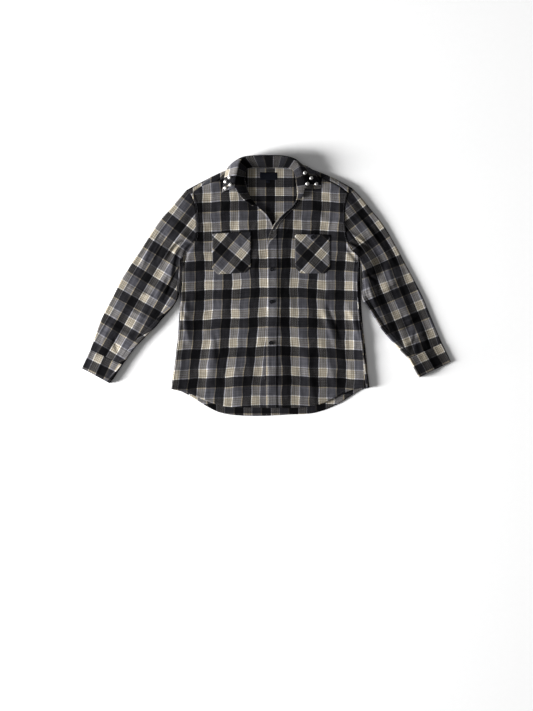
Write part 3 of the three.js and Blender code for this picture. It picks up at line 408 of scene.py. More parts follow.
# Sleeve grain: where one warp stripe crosses the light weft bands, from cuff to shoulder
SLEEVE_GRAIN = {
    "right": (
        (-571, -379), (-524, -281), (-476.5, -199), (-429, -117), (-385, -38), (-340.6, 35),
        (-290, 117), (-233, 193), (-176, 269), (-119, 345),
    ),
    "left": (
        (584, -339), (549, -243), (519, -152), (484, -63), (449, 22), (414.6, 110.6), (361, 193),
        (307, 265), (253, 338), (199, 411),
    ),
}
SLEEVE_GRAIN_WIDEN = {"right": 1.06, "left": 1.1}
CUFF_WARP = {"right": 48, "left": 55.6}  # where the cuffs' stripes start
CUFF_WEFT = LIGHT_GROUP - 0.5
CUFF_LAP = (86, 57)  # how far across the left cuff its lapped end begins, and the jump in the stripes
CUFF_SEAM_INSET = 12.0
CUFF_PUFF = 0.5
CUFF_ROWS = 24
SLEEVE_FIRST_ROWS = (0, 0.04, 0.09, 0.15, 0.22, 0.3)  # close together beside the armhole
SLEEVE_ROWS = 170
LOWEST_SLEEVE = 3.6
SLEEVE_LEAN = 4.4  # how much higher the inner edge lies, and lower the outer one
TUCK = {"right": 0, "left": 7}  # how deep the inner edge sinks beside the body, under the arm
TUCK_WIDE = 11
TUCK_STARTS, TUCK_ENDS = (0.8, 2.2), (7.6, 5.6)  # sleeve rows over which it fades in and out

POCKET = {
    "right": {"x0": -170, "x1": -49, "y0": 39, "y1": 167, "tilt": 0.06, "clip": 17},
    "left": {"x0": 91, "x1": 201, "y0": 39, "y1": 161, "tilt": -0.02, "clip": 17},
}
POCKET_GRID = (56, 60)
POCKET_HEM = 26
POCKET_PUFF = 0.4
POCKET_DENT = 0.3  # along the stitching at its edges
HEM_DENT = 0.5  # and along its hem
POCKET_GRAIN = {  # the middle of a light square, the slope of the grain and which way it runs
    "right": {"x": -146, "y": 155.5, "turn": -40, "way": -1},
    "left": {"x": 108, "y": 156, "turn": -41.5, "way": 1},
}

LABEL = {"x": 7, "y": 346, "wide": 54, "tall": 23}
SIZE_TAB = {"x": 5, "y": 329, "wide": 14, "tall": 9}
FRONT_BUTTONS = {"button_front_1": (17, 51), "button_front_2": (16, -51), "button_front_3": (14, -181)}
LOWEST_BUTTON = (-8, -292)
POCKET_BUTTON = (146, 153)
STUDS = {
    "stud_right_1": (-116, 341),
    "stud_right_2": (-129, 328),
    "stud_right_3": (-113, 318),
    "stud_right_4": (-129, 308),
    "stud_left_1": (122, 355),
    "stud_left_2": (142, 339),
    "stud_left_3": (130, 321),
    "stud_left_4": (158, 321),
}

SIGN = {"right": -1, "left": 1}  # the way each side lies along x

# Reading tables and curves


def mix(a, b, t):
    return a + (b - a) * t


def pair(x, y):
    """Two coordinates side by side, as points."""
    return np.stack([x, y], axis=-1)


def unit(vectors):
    return vectors / np.maximum(np.linalg.norm(vectors, axis=-1, keepdims=True), 1e-9)


def smooth(start, end, value):
    t = np.clip((value - start) / (end - start), 0, 1)
    return t * t * (3 - 2 * t)


def bump(distance, width):
    return np.exp(-((distance / width) ** 2))


def hermite(t, start, end, leave, arrive):
    """A smooth step from start to end that leaves and arrives with the given slopes."""
    return (
        (2 * t**3 - 3 * t**2 + 1) * start
        + (t**3 - 2 * t**2 + t) * leave
        + (3 * t**2 - 2 * t**3) * end
        + (t**3 - t**2) * arrive
    )


def read(rows, key, column, at):
    """A table's column at values of its key, through the rows and smooth between them."""
    keys, values = rows[key], rows[column]
    each, last = np.arange(len(keys)), len(keys) - 1
    before, after = np.maximum(each - 1, 0), np.minimum(each + 1, last)
    slopes = (values[after] - values[before]) / (keys[after] - keys[before])
    at = np.clip(at, keys[0], keys[-1])
    k = np.clip(np.searchsorted(keys, at, side="right") - 1, 0, last - 1)
    span = keys[k + 1] - keys[k]
    t = (at - keys[k]) / span
    return hermite(t, values[k], values[k + 1], span * slopes[k], span * slopes[k + 1])


def lengths(line):
    """How far along a line of points each point is."""
    steps = np.linalg.norm(np.diff(line, axis=0), axis=1)
    return np.concatenate([[0], np.cumsum(steps)])


def along_run(at, run, values):
    """Rows of values that are known along a run, at other distances along it."""
    return np.stack([np.interp(at, run, column) for column in values.T], axis=-1)


def at_distance(line, distance):
    """Points on a line at distances along it."""
    return along_run(distance, lengths(line), line)


def at_share(line, share):
    return at_distance(line, np.asarray(share) * lengths(line)[-1])


def curve(points, steps=40):
    """A dense smooth line through points (centripetal Catmull-Rom)."""
    points = np.asarray(points, float)
    held = np.vstack([2 * points[0] - points[1], points, 2 * points[-1] - points[-2]])
    gaps = np.sqrt(np.linalg.norm(np.diff(held, axis=0), axis=1))
    t = np.linspace(0, 1, steps, endpoint=False)[:, None]
    pieces = []
    for k in range(len(points) - 1):
        before, start, end, after = held[k : k + 4]
        gap0, gap1, gap2 = gaps[k : k + 3]
        leave = ((start - before) / gap0 - (end - before) / (gap0 + gap1) + (end - start) / gap1) * gap1
        arrive = ((end - start) / gap1 - (after - start) / (gap1 + gap2) + (after - end) / gap2) * gap1
        pieces.append(hermite(t, start, end, leave, arrive))
    return np.vstack([*pieces, points[-1:]])


def nearest(line, x, y):
    """For plan points: distance from a line, how far along it, and the side (right is positive)."""
    shape = x.shape
    x, y = x.ravel(), y.ravel()
    run = lengths(line)
    best = np.full(x.shape, np.inf)
    along = np.zeros(x.shape)
    side = np.zeros(x.shape)
    for k in range(len(line) - 1):
        dx, dy = line[k + 1] - line[k]
        span = dx * dx + dy * dy
        t = np.clip(((x - line[k, 0]) * dx + (y - line[k, 1]) * dy) / span, 0, 1)
        away = np.hypot(x - line[k, 0] - t * dx, y - line[k, 1] - t * dy)
        closer = away < best
        best = np.where(closer, away, best)
        along = np.where(closer, run[k] + t * math.sqrt(span), along)
        turn = (x - line[k, 0]) * dy - (y - line[k, 1]) * dx
        side = np.where(closer, np.sign(turn), side)
    return best.reshape(shape), along.reshape(shape), side.reshape(shape)


def patch(bottom, top, left, right):
    """Fills the space between four lines of points that share their corners."""
    u = (lengths(bottom) / lengths(bottom)[-1])[None, :, None]
    v = (lengths(left) / lengths(left)[-1])[:, None, None]
    corners = mix(mix(bottom[0], bottom[-1], u), mix(top[0], top[-1], u), v)
    return mix(bottom[None], top[None], v) + mix(left[:, None], right[:, None], u) - corners


# Heights of the cloth


def seam_inset(side, y):
    return mix(SEAM_INSET[side], SEAM_INSET_UNDERARM, smooth(*SEAM_TAPER, y))


def crease_height(x, y):
    """Ridges and troughs from the table, each along a bent line with its own reach on either side."""
    height = np.zeros_like(x)
    t = np.linspace(0, 1, CREASE_STEPS)[:, None]
    for values in zip(*(CREASES[name] for name in CREASES if name != "n")):
        points, (right, left, rise) = np.reshape(values[:6], (3, 2)), values[6:]
        line = (1 - t) ** 2 * points[0] + 2 * t * (1 - t) * points[1] + t * t * points[2]
        away, along, side = nearest(line, x, y)
        share = along / lengths(line)[-1]
        fade = smooth(-CREASE_ENDS, 2 * CREASE_ENDS, share)
        fade *= smooth(1 + CREASE_ENDS, 1 - 2 * CREASE_ENDS, share)
        height += rise * fade * bump(away, CREASE_REACH * np.where(side > 0, right, left))
    return height


def wave_height(x, y):
    height = np.zeros_like(x)
    for wide, tall, phase, rise, _ in zip(*WAVES.values()):
        height += rise * np.sin(2 * math.pi * (x / wide + y / tall) + phase)
    return height


def ripple_height(across, along):
    """Soft lengthwise ripples that wander and fade, from distances across and along the cloth."""
    height = np.zeros_like(across)
    sway, sway_long = RIPPLE_WANDER
    fade, fade_long, fade_wide = RIPPLE_FADE
    for reach, drift, phase, rise, _ in zip(*RIPPLES.values()):
        wander = drift * along + sway * np.sin(along / sway_long + 2 * phase)
        fading = np.sin(along / fade_long + 3 * phase) * np.sin(across / fade_wide + phase)
        strength = 1 - fade + fade * fading
        height += rise * strength * np.sin(2 * math.pi * (across / reach + wander) + phase)
    return height


def held_line(side):
    """Side, armhole and yoke seam of one front, the lines where it is held up."""
    y = SIDES["y"][:-2]
    edge = pair(SIDES[side][:-2] - SIGN[side] * seam_inset(side, y), y)
    neck = (SIGN[side] * NECK_HELD[0], NECK_HELD[1])
    return np.vstack([edge, ARMHOLE[side][1:-1], YOKE_SEAM[side], [neck]])


def front_top(side, x, y):
    away = nearest(held_line(side), x, y)[0]
    rise = (EDGE_TOP - FRONT_TOP) * bump(away, EDGE_REACH)
    lap = LAP_LIFT * (1 - smooth(LAP_FULL, LAP_END, x)) if side == "left" else 0
    middle = BODY_CROWN * np.cos(math.pi * np.clip(x / BODY_HALF, -1, 1) / 2)
    folds = middle + crease_height(x, y) + wave_height(x, y) + FRONT_RIPPLES * ripple_height(x, y)
    return np.maximum(FRONT_TOP + rise + lap + folds, LOWEST_TOP + lap)


# Panels: grids of points with the cloth's own coordinates


class Panel:
    """A grid of points, rows by columns, and where each point lies on the flat cloth, both in mm.

    A ring's last column lies on its first. up is a plain direction that the visible face looks to."""

    def __init__(self, points, cloth, up=(0, 0, 1), ring=False):
        self.points = points
        self.cloth = cloth
        self.ring = ring
        self.normals = grid_normals(points, ring)
        middle = len(points) // 2
        furthest = np.argmax(points[middle] @ np.array(up, float))
        if np.dot(self.normals[middle, furthest], up) < 0:
            self.normals = -self.normals

    def inset(self, edge, distance, start=0.0, end=1.0):
        """The line on the panel at a distance in from one edge, with its normals."""
        points, normals = self.points, self.normals
        if edge in ("start", "end"):
            points, normals = points.swapaxes(0, 1), normals.swapaxes(0, 1)
        if edge in ("right", "end"):
            points, normals = points[:, ::-1], normals[:, ::-1]
        first, last = (round(share * (len(points) - 1)) for share in (start, end))
        rows = list(zip(points[first : last + 1], normals[first : last + 1]))
        line = np.array([at_distance(row, distance) for row, _ in rows])
        facing = np.array([along_run(distance, lengths(row), normal) for row, normal in rows])
        return line, facing

    def at(self, x, y):
        """The highest point of the surface over a plan point, and its normal there."""
        corners = quads(grid_index(*self.points.shape[:2]))
        triangles = np.vstack([corners[:, [0, 1, 2]], corners[:, [0, 2, 3]]])
        a, b, c = (self.points.reshape(-1, 3)[triangles[:, k]] for k in range(3))
        ab, ac, spot = b - a, c - a, np.array([x, y, 0]) - a

        def turn(u, v):
            return u[:, 0] * v[:, 1] - u[:, 1] * v[:, 0]

        whole = np.where(np.abs(turn(ab, ac)) < 1e-9, 1e-9, turn(ab, ac))
        share_b, share_c = turn(spot, ac) / whole, turn(ab, spot) / whole
        inside = (share_b >= 0) & (share_c >= 0) & (share_b + share_c <= 1)
        height = a[:, 2] + share_b * ab[:, 2] + share_c * ac[:, 2]
        best = np.argmax(np.where(inside, height, -np.inf))
        normal = self.normals.reshape(-1, 3)[triangles[best]].mean(axis=0)
        return np.array([x, y, height[best]]), normal


def grid_normals(points, ring):
    if ring:
        held = np.concatenate([points[:, -2:-1], points, points[:, 1:2]], axis=1)
        across = held[:, 2:] - held[:, :-2]
    else:
        across = np.gradient(points, axis=1)
    along = np.gradient(points, axis=0)
    return unit(np.cross(across, along))


def edge_distances(grid):
    """How far each point of a grid is from its left, right, start and end edges."""
    found = []
    for axis in (1, 0):
        steps = np.linalg.norm(np.diff(grid, axis=axis), axis=2)
        run = np.insert(np.cumsum(steps, axis=axis), 0, 0, axis=axis)
        found += [run, run.take([-1], axis=axis) - run]
    return found


def seam_relief(distance):
    """A groove at a seam and the slight ridge of the allowance beside it."""
    ridge = SEAM_RIDGE * smooth(0, 2, distance) * smooth(SEAM_RIDGE_WIDE + 2, SEAM_RIDGE_WIDE, distance)
    return ridge - SEAM_DIP * bump(distance, SEAM_DIP_WIDE)


def hem_relief(distance):
    return HEM_RISE * smooth(HEM_WIDE + 1.5, HEM_WIDE, distance)


def spaced(length, step, fine=9.0, fine_step=1.5):
    """Shares of a length, closer together near both ends."""
    ends = np.arange(0, fine, fine_step)
    middle = np.linspace(fine, length - fine, max(2, round((length - 2 * fine) / step)))
    return np.concatenate([ends, middle, length - ends[::-1]]) / length


# Fronts


def armhole_line(side):
    """The armhole's dense line and the shares of it where the roll, side seam and yoke seam fall."""
    line = curve(ARMHOLE[side])
    length = lengths(line)[-1]
    marks = {
        "roll": ROLL / length,
        "seam": UNDERARM_TO_SEAM / length,
        "yoke": 1 - YOKE_TURN / length,
        "shoulder": 1 - ROLL / length,
    }
    return line, marks


ARM = {side: armhole_line(side) for side in SIGN}
ARM_STEPS = 56
SIDE_STEPS = 110
FRONT_STEP = 3.2


def arm_points(side, start, end, steps):
    line, marks = ARM[side]
    return at_share(line, np.linspace(marks[start], marks[end], steps))


def wobble(waves, along, across):
    return sum(size * np.sin(along / long + across / wide) for size, long, wide in waves)


def grain(side, x, y):
    """The cloth's coordinates over a plan point of a front."""
    warp = x - read(LEAN, "y", side, y) - WARP_START[side]
    past = np.minimum(x, 0) if side == "right" else np.maximum(x - WEFT_SLOPE_FROM["left"], 0)
    weft = y - WEFT_SLOPE[side] * past - WEFT_START
    return pair(warp + wobble(WARP_WOBBLE, y, x), weft + wobble(WEFT_WOBBLE, x, y))


def front_panel(side):
    arm = arm_points(side, "seam", "yoke", ARM_STEPS)
    y = np.linspace(HEM[side][-1][1], arm[0, 1], SIDE_STEPS, endpoint=False)
    x = read(SIDES, "y", side, y) - SIGN[side] * (seam_inset(side, y) + SEAM_CLOSE)
    outer = np.vstack([pair(x, y), arm])
    rows = FRONT_EDGE[side]
    levels = mix(rows["y"][0], rows["y"][-1], lengths(outer) / lengths(outer)[-1])
    edge = pair(read(rows, "y", "x", levels), levels)
    hem = curve(HEM[side])
    across = spaced(lengths(hem)[-1], FRONT_STEP)
    bottom = at_share(hem, across)
    bottom[0], bottom[-1] = edge[0], outer[0]
    top = at_share(curve([edge[-1], *YOKE_SEAM[side][::-1], outer[-1]]), across)
    top[0], top[-1] = edge[-1], outer[-1]
    plan = patch(bottom, top, edge, outer)
    x, y = plan[..., 0], plan[..., 1]
    from_edge, from_side, from_hem, from_yoke = edge_distances(plan)
    z = front_top(side, x, y) + seam_relief(from_side) + hem_relief(from_hem)
    z += EDGE_ROLL * smooth(PLACKET_ROLLS[0], PLACKET_ROLLS[1], y) * bump(from_edge, EDGE_ROLL_WIDE)
    z -= SEAM_DIP * bump(from_yoke, SEAM_DIP_WIDE)
    return Panel(np.dstack([x, y, z]), grain(side, x, y))


def placket_panel(front):
    """The buttonhole band, laid on the left front's own rows of points."""
    rows = front.points[front.points[:, 0, 1] < PLACKET_TOP]
    shares = np.array(PLACKET_COLUMNS)
    turned = smooth(*PLACKET_ROLLS, rows[:, 0, 1])
    wide = mix(PLACKET_WIDE, PLACKET_TURNED, turned)
    grid = np.array([at_distance(row, reach * shares) for row, reach in zip(rows, wide)])
    full = np.sin(math.pi * shares)
    grid[..., 2] += LAID_GAP + BAND + PLACKET_PUFF * full**0.5
    # Near the neck the band's stripes are laid white at both rolled edges and black between: partly the
    # plaid, partly a painted highlight where the edges catch the light
    rolled = PLACKET_ROLLED[0] - PLACKET_ROLLED[1] * full
    warp = mix(grid[..., 0] - WARP_START["right"], rolled[None], turned[:, None])
    return Panel(grid, pair(warp, grid[..., 1] - WEFT_START))


# Back: drawn flat with its side strips spread out, then turned up round the sides


def side_foot(side, y):
    return np.abs(read(SIDES, "y", side, y)) - ROLL


def round_roll(reach, foot):
    """Takes a flat length round a roll that starts at its foot: how far out, how high, at what angle."""
    past = reach - foot
    angle = np.clip(past / ROLL, 0, math.pi)
    over = np.maximum(past - math.pi * ROLL, 0)
    return np.minimum(reach, foot) + ROLL * np.sin(angle) - over, ROLL - ROLL * np.cos(angle), angle


def turn_up(plan):
    """Folds the spread-out back round the rolled sides. Gives its underside, and the way into it."""
    s, y = plan[..., 0], plan[..., 1]
    sign = np.sign(s)
    foot = np.where(s < 0, side_foot("right", y), side_foot("left", y))
    out, height, angle = round_roll(np.abs(s), foot)
    x = sign * out
    points = np.dstack([x, y, height])
    into = np.dstack([-sign * np.sin(angle), np.zeros_like(x), np.cos(angle)])
    return points, into


def roll_plan(start, end, steps):
    """Plan points round a rolled edge from the top of the roll to its foot."""
    out = (end - start) / np.linalg.norm(end - start)
    angle = np.linspace(0, math.pi, steps)
    return start + out * ROLL * np.sin(angle)[:, None]


def back_side(side):
    line, _ = ARM[side]
    arm = arm_points(side, "seam", "yoke", ARM_STEPS)
    first = arm_points(side, "roll", "roll", 1)[0]
    half_turn = math.pi * ROLL
    y = np.linspace(TAIL["y"][0 if side == "right" else -1], first[1] - STRIP_SHORT, SIDE_STEPS)
    strip = pair(side_foot(side, y) + half_turn + seam_inset(side, y) - ROLL, y)
    rim = roll_plan(first, line[0], RIM_STEPS)[:, 1]
    lower = np.vstack([strip, pair(side_foot(side, rim) + np.linspace(half_turn, 0, RIM_STEPS), rim)])
    lower[:, 0] *= SIGN[side]
    return np.vstack([lower, arm])


def yoke_line(share, start_y, end_y):
    near = smooth(YOKE_LIFT_SHARE, 0, share)
    far = smooth(1 - YOKE_LIFT_SHARE, 1, share)
    return YOKE_BACK_Y + (start_y - YOKE_BACK_Y) * near + (end_y - YOKE_BACK_Y) * far


def back_columns(wide):
    """Shares of the spread back's width: fine on the turned-up strips and the rolls, even between."""
    strips = []
    for side, steps in STRIP_STEPS.items():
        strip = SEAM_INSET[side] - ROLL
        roll = strip + np.linspace(0, math.pi * ROLL, ROLL_STEPS)
        strips.append(np.concatenate([np.linspace(0, strip, steps)[:-1], roll]) / wide)
    first, last = strips[0], 1 - strips[1][::-1]
    return np.concatenate([first, np.linspace(first[-1], last[0], BACK_STEPS)[1:-1], last])


def back_grain(plan):
    """The back's plaid, which drifts towards the tail and shows a black stripe on the left strip."""
    low = smooth(*BACK_DRIFTS, plan[..., 1])
    past_side = plan[..., 0] - side_foot("left", plan[..., 1])
    shift = [start + drift * low for start, drift in zip(BACK_GRAIN, BACK_DRIFT)]
    eased = BACK_STRIP_EASE * smooth(*BACK_STRIP, past_side)
    return pair(plan[..., 0] + shift[0] - eased, plan[..., 1] + shift[1])


def back_panel():
    left, right = back_side("right"), back_side("left")
    across = back_columns(right[0, 0] - left[0, 0])
    x = mix(left[0, 0], right[0, 0], across)
    bottom = pair(x, read(TAIL, "x", "y", x))
    arm_right, arm_left = left[-1].copy(), right[-1].copy()
    top_y = yoke_line(across, arm_right[1], arm_left[1]) - SEAM_CLOSE
    top = pair(mix(arm_right[0], arm_left[0], across), top_y)
    left[-1], right[-1] = top[0], top[-1]
    plan = patch(bottom, top, left, right)
    outer, into = turn_up(plan)
    from_left, from_right, from_tail, _ = edge_distances(plan)
    waves = 1 + np.sin(plan[..., 0] / TAIL_WAVES[0]) * np.sin(plan[..., 0] / TAIL_WAVES[1] + 1)
    lift = TAIL_LIFT * smooth(60, 10, from_tail) * waves * (into[..., 2] > 0.99)
    seam = seam_relief(np.minimum(from_left, from_right))
    outer -= into * np.where(into[..., 2] < -0.5, seam, 0)[..., None]
    outer[..., 2] += lift
    return Panel(outer, back_grain(plan), up=(0, 0, -1))


# Yoke: spread flat above the shoulder fold, then folded over it onto the fronts


def fold_foot(x):
    return read(SHOULDER, "x", "y", x) - ROLL


def spread_y(x, y):
    return 2 * fold_foot(x) + math.pi * ROLL - y


def fold_over(plan):
    x = plan[..., 0]
    y, height, angle = round_roll(plan[..., 1], fold_foot(x))
    return np.dstack([x, y, height]), angle


def yoke_end(side):
    """The armhole end of the yoke in spread form, from the back seam to the front seam."""
    line, marks = ARM[side]
    seam = at_share(line, [marks["yoke"]])[0]
    start = at_share(line, [marks["shoulder"]])[0]
    lower = mix(seam, start, np.linspace(0, 1, YOKE_STEPS)[:-1, None])
    rim = roll_plan(start, line[-1], ROLL_STEPS)[::-1, 0]
    rim = pair(rim, fold_foot(start[0]) + np.linspace(0, math.pi * ROLL, ROLL_STEPS))
    upper = lower[::-1].copy()
    upper[:, 1] = spread_y(upper[:, 0], upper[:, 1])
    return np.vstack([lower, rim, upper])


def yoke_front_edge():
    """The yoke's front edge in spread form, from armhole to armhole round the neck."""

    def seam(points):
        x, y = np.array(points, float).T
        return pair(x, spread_y(x, y + SEAM_CLOSE))

    halves = {}
    for side, x in NECK_SIDE.items():
        neck = (FRONT_EDGE[side]["x"][-1], FRONT_EDGE[side]["y"][-1])
        halves[side] = [*seam([*YOKE_SEAM[side], neck]), (x, fold_foot(x) + NECK_SIDE_RISE)]
    ends = {side: yoke_end(side)[-1] for side in SIGN}
    shape = np.array([ends["right"], *halves["right"], *NECK_BACK, *halves["left"][::-1], ends["left"]])
    parts = [np.linspace(a, b, YOKE_STEPS)[:-1] for a, b in zip(shape[:-1], shape[1:])]
    return np.concatenate([*parts, shape[-1:]])


def yoke_panel():
    left, right = yoke_end("right"), yoke_end("left")
    edge = yoke_front_edge()
    share = (edge[:, 0] - edge[0, 0]) / (edge[-1, 0] - edge[0, 0])
    bottom = pair(mix(left[0, 0], right[0, 0], share), yoke_line(share, left[0, 1], right[0, 1]))
    plan = patch(bottom, edge, left, right)
    outer, angle = fold_over(plan)
    from_seam = edge_distances(plan)[3]
    on_top = angle > YOKE_ON_TOP
    relief = seam_relief(from_seam) + wave_height(outer[..., 0], outer[..., 1])
    outer[..., 2] += np.where(on_top, relief, 0)
    shift = YOKE_INSIDE[1] * (plan[..., 1] < YOKE_INSIDE[0]) + YOKE_FRONT * on_top
    cloth = pair(plan[..., 0] + YOKE_GRAIN[0], plan[..., 1] + YOKE_GRAIN[1] + shift)
    return Panel(outer, cloth, up=(0, 0, -1))


# Sleeves and cuffs: flattened tubes from their sections


TUBE_STRIP = np.linspace(0, 1, 8)[None, :-1]  # columns from the inner edge to the seam on top
TUBE_REST = np.linspace(0, 1, 66)[None]  # and from there to the outer edge
TUBE_TURN = np.linspace(0, math.pi, 9)[1:-1]  # angles round a rolled edge
EDGE_FIRM = 6  # how much faster folds grow in from a tube's edge


def tube_panel(rows, side, stations, grain_of, seam_inset, seam_depth, tuck):
    """A flattened tube. Its cloth is cut along the underarm seam, which lies on top near the inner edge."""
    line, marks = ARM[side]
    row = {name: read(rows, "n", name, stations)[:, None] for name in rows}
    length = np.hypot(row["ox"] - row["ix"], row["oy"] - row["iy"])
    seam_share = (seam_inset[:, None] - ROLL) / (length - 2 * ROLL)
    g = np.concatenate([seam_share * TUBE_STRIP, mix(seam_share, 1, TUBE_REST)], axis=1)
    t = mix(marks["roll"], marks["shoulder"], g)
    off_chord = at_share(line, t) - mix(line[0], line[-1], t[..., None])
    share = mix((ROLL + (length - 2 * ROLL) * g) / length, t, row["bow"])
    x = mix(row["ix"], row["ox"], share) + row["bow"] * off_chord[..., 0]
    y = mix(row["iy"], row["oy"], share) + row["bow"] * off_chord[..., 1]
    cloth = grain_of(x, y)
    folds = crease_height(x, y) + wave_height(x, y)
    folds += SLEEVE_RIPPLES * ripple_height(cloth[..., 0], cloth[..., 1])
    firm = np.minimum(1, EDGE_FIRM * np.minimum(g, 1 - g))
    height = EDGE_TOP + row["crown"] * np.sin(math.pi * np.clip(g, 0, 1)) ** 0.5
    height += folds * mix(firm, 1, row["bow"]) + SLEEVE_LEAN * (1 - 2 * g) * (1 - row["bow"])
    height -= tuck[:, None] * bump(g * length, TUCK_WIDE)
    height -= seam_depth * bump(np.abs(g - seam_share) * length, SEAM_DIP_WIDE)
    top = np.dstack([x, y, np.maximum(height, LOWEST_SLEEVE)])
    under = top[:, ::-1] * (1, 1, 0)
    outer_roll = end_roll(top[:, -1], np.column_stack([row["ox"], row["oy"]]), TUBE_TURN)
    inner_roll = end_roll(top[:, 0], np.column_stack([row["ix"], row["iy"]]), TUBE_TURN[::-1])
    ring = np.concatenate([top, outer_roll, under, inner_roll], axis=1)
    first = TUBE_STRIP.shape[1]
    ring = np.concatenate([ring[:, first:], ring[:, : first + 1]], axis=1)
    return Panel(ring, unrolled(cloth, first), ring=True)


def end_roll(tip, end, angles):
    """A tube's rolled edge, from the tips of its top down to the surface."""
    out = unit(end - tip[:, :2])
    plans = [tip[:, :2] + out * ROLL * math.sin(angle) for angle in angles]
    heights = [tip[:, 2] * (1 + math.cos(angle)) / 2 for angle in angles]
    return np.stack([np.column_stack(level) for level in zip(plans, heights)], axis=1)


def unrolled(cloth, first):
    """Cloth coordinates once round a tube from its seam: across the top, below, and up to the seam."""
    way = np.sign(cloth[:, -1:, 0] - cloth[:, :1, 0])

    def rolled(edge):
        edge = edge.repeat(len(TUBE_TURN), axis=1)
        edge[..., 0] += way * ROLL * TUBE_TURN
        return edge

    below = cloth[:, ::-1].copy()
    below[..., 0] = 2 * cloth[:, -1:, 0] - below[..., 0] + way * ROLL * math.pi
    last = rolled(below[:, -1:])
    strip = cloth[:, : first + 1].copy()
    past_edge = ROLL * TUBE_TURN[0] + np.abs(strip[..., 0] - cloth[:, :1, 0])
    strip[..., 0] = last[:, -1:, 0] + way * past_edge
    return np.concatenate([cloth[:, first:], rolled(cloth[:, -1:]), below, last, strip], axis=1)


GUIDE_STEPS = 14


def sleeve_grain(side):
    guide = curve(SLEEVE_GRAIN[side], GUIDE_STEPS)
    marks = lengths(guide)[::GUIDE_STEPS]

    def at(x, y):
        away, along, way = nearest(guide, x, y)
        weft = WEFT_REPEAT * np.interp(along, marks, np.arange(len(marks)))
        return pair(SLEEVE_GRAIN_WIDEN[side] * way * away, weft) + LIGHT_GROUP / 2

    return at


def sleeve_panel(side):
    rows = SLEEVE[side]
    last = rows["n"][-1]
    middle = np.linspace(0.38, last - 0.2, SLEEVE_ROWS)
    at = np.concatenate([SLEEVE_FIRST_ROWS, middle, [last - 0.1, last - 0.04, last]])
    inset = mix(UNDERARM_TO_SEAM, SLEEVE_SEAM_INSET, smooth(0, 2.5, at))
    tuck = TUCK[side] * smooth(*TUCK_STARTS, at) * smooth(*TUCK_ENDS, at)
    panel = tube_panel(rows, side, at, sleeve_grain(side), inset, SEAM_DIP, tuck)
    _, _, from_arm, from_cuff = edge_distances(panel.points)
    groove = SEAM_DIP * (bump(from_arm, SEAM_DIP_WIDE) + bump(from_cuff, SEAM_DIP_WIDE))
    panel.points -= panel.normals * (groove * (panel.normals[..., 2] > 0))[..., None]
    return Panel(panel.points, panel.cloth, ring=True)


def cuff_grain(side):
    """The cuffs' own stripes, counted from the outer edge on the right and the inner one on the left."""
    rows = CUFF[side]
    end = {letter: pair(rows[letter + "x"], rows[letter + "y"])[[-1, 0]] for letter in "oi"}
    counted = end["o" if side == "right" else "i"]

    def at(x, y):
        across = nearest(counted, x, y)[0]
        lapped = CUFF_LAP[1] * (across > CUFF_LAP[0]) if side == "left" else 0
        weft = CUFF_WEFT - nearest(np.array([end["i"][1], end["o"][1]]), x, y)[0]
        return pair(CUFF_WARP[side] - across + lapped, weft)

    return at


def cuff_panel(side):
    middle = np.linspace(0.18, 1.86, CUFF_ROWS)
    at = np.concatenate([[0, 0.03, 0.07, 0.12], middle, [1.91, 1.96, 2]])
    inset = np.full(at.shape, CUFF_SEAM_INSET)
    panel = tube_panel(CUFF[side], side, at, cuff_grain(side), inset, 0, 0 * at)
    _, _, from_sleeve, from_end = edge_distances(panel.points)
    puff = CUFF_PUFF * smooth(0, 6, from_sleeve) * smooth(0, 5, from_end)
    panel.points += panel.normals * (puff * (panel.normals[..., 2] > 0.1))[..., None]
    return Panel(panel.points, panel.cloth, ring=True)


# Collar


def collar_stations(rows, count):
    return {name: read(rows, "n", name, np.linspace(0, rows["n"][-1], count)) for name in rows}


def triple(rows, letter):
    return np.stack([rows[letter + axis] for axis in "xyz"], axis=-1)


def collar_warp(line):
    """The collar's stripes along a line of it, counted from the middle of the back."""
    middle = len(line) // 2
    run = lengths(line) - lengths(line)[middle]
    run += np.sign(run) * COLLAR_EASE * smooth(*COLLAR_EASED, np.abs(run))
    return run + line[middle, 0] - COLLAR_WARP_START


def stand_panel():
    rows = collar_stations(STAND, STAND_GRID[0])
    t = np.linspace(0, 1, STAND_GRID[1])[None, :, None]
    grid = mix(triple(rows, "f")[:, None], triple(rows, "t")[:, None], t)
    grid[..., 2] += STAND_BOW * np.sin(math.pi * t[..., 0])
    height = edge_distances(grid)[0]
    share = height / height[:, -1:]
    warp = collar_warp(triple(rows, "t"))[:, None] + 0 * height
    return Panel(grid, pair(warp, mix(*STAND_WEFT, share)), up=(0, -0.3, 1))


def fall_panel():
    stand = {name: values[FALL_FIRST : FALL_FIRST + len(FALL["n"])] for name, values in STAND.items()}
    stand["n"] = FALL["n"]
    both = collar_stations({**stand, **FALL}, FALL_GRID[0])
    foot, top, middle, end = (triple(both, letter) for letter in "ftme")
    rise = unit(top - foot)
    start = top + rise * FALL_GAP
    over = start + rise * FALL_RISE
    pull = (8 * middle - start - 3 * over - end) / 3
    t = np.linspace(0, 1, FALL_GRID[1])[None, :, None]
    start, over, pull, end = (points[:, None] for points in (start, over, pull, end))
    grid = (1 - t) ** 3 * start + 3 * t * (1 - t) ** 2 * over + 3 * t * t * (1 - t) * pull + t**3 * end
    from_fold, from_edge, from_right, from_left = edge_distances(grid)
    lean = mix(*FALL_WEFT, np.linspace(0, 1, len(grid)))[:, None]
    cloth = pair(collar_warp(grid[:, 0])[:, None] + 0 * from_fold, lean - from_fold)
    panel = Panel(grid, cloth)
    rim = np.minimum(from_edge, np.minimum(from_right, from_left))
    puff = COLLAR_PUFF * smooth(0, 4, rim) - COLLAR_DENT * bump(rim - SEWN["collar_fall"], 1.2)
    panel.points += panel.normals * puff[..., None]
    return Panel(panel.points, cloth)


# Pockets


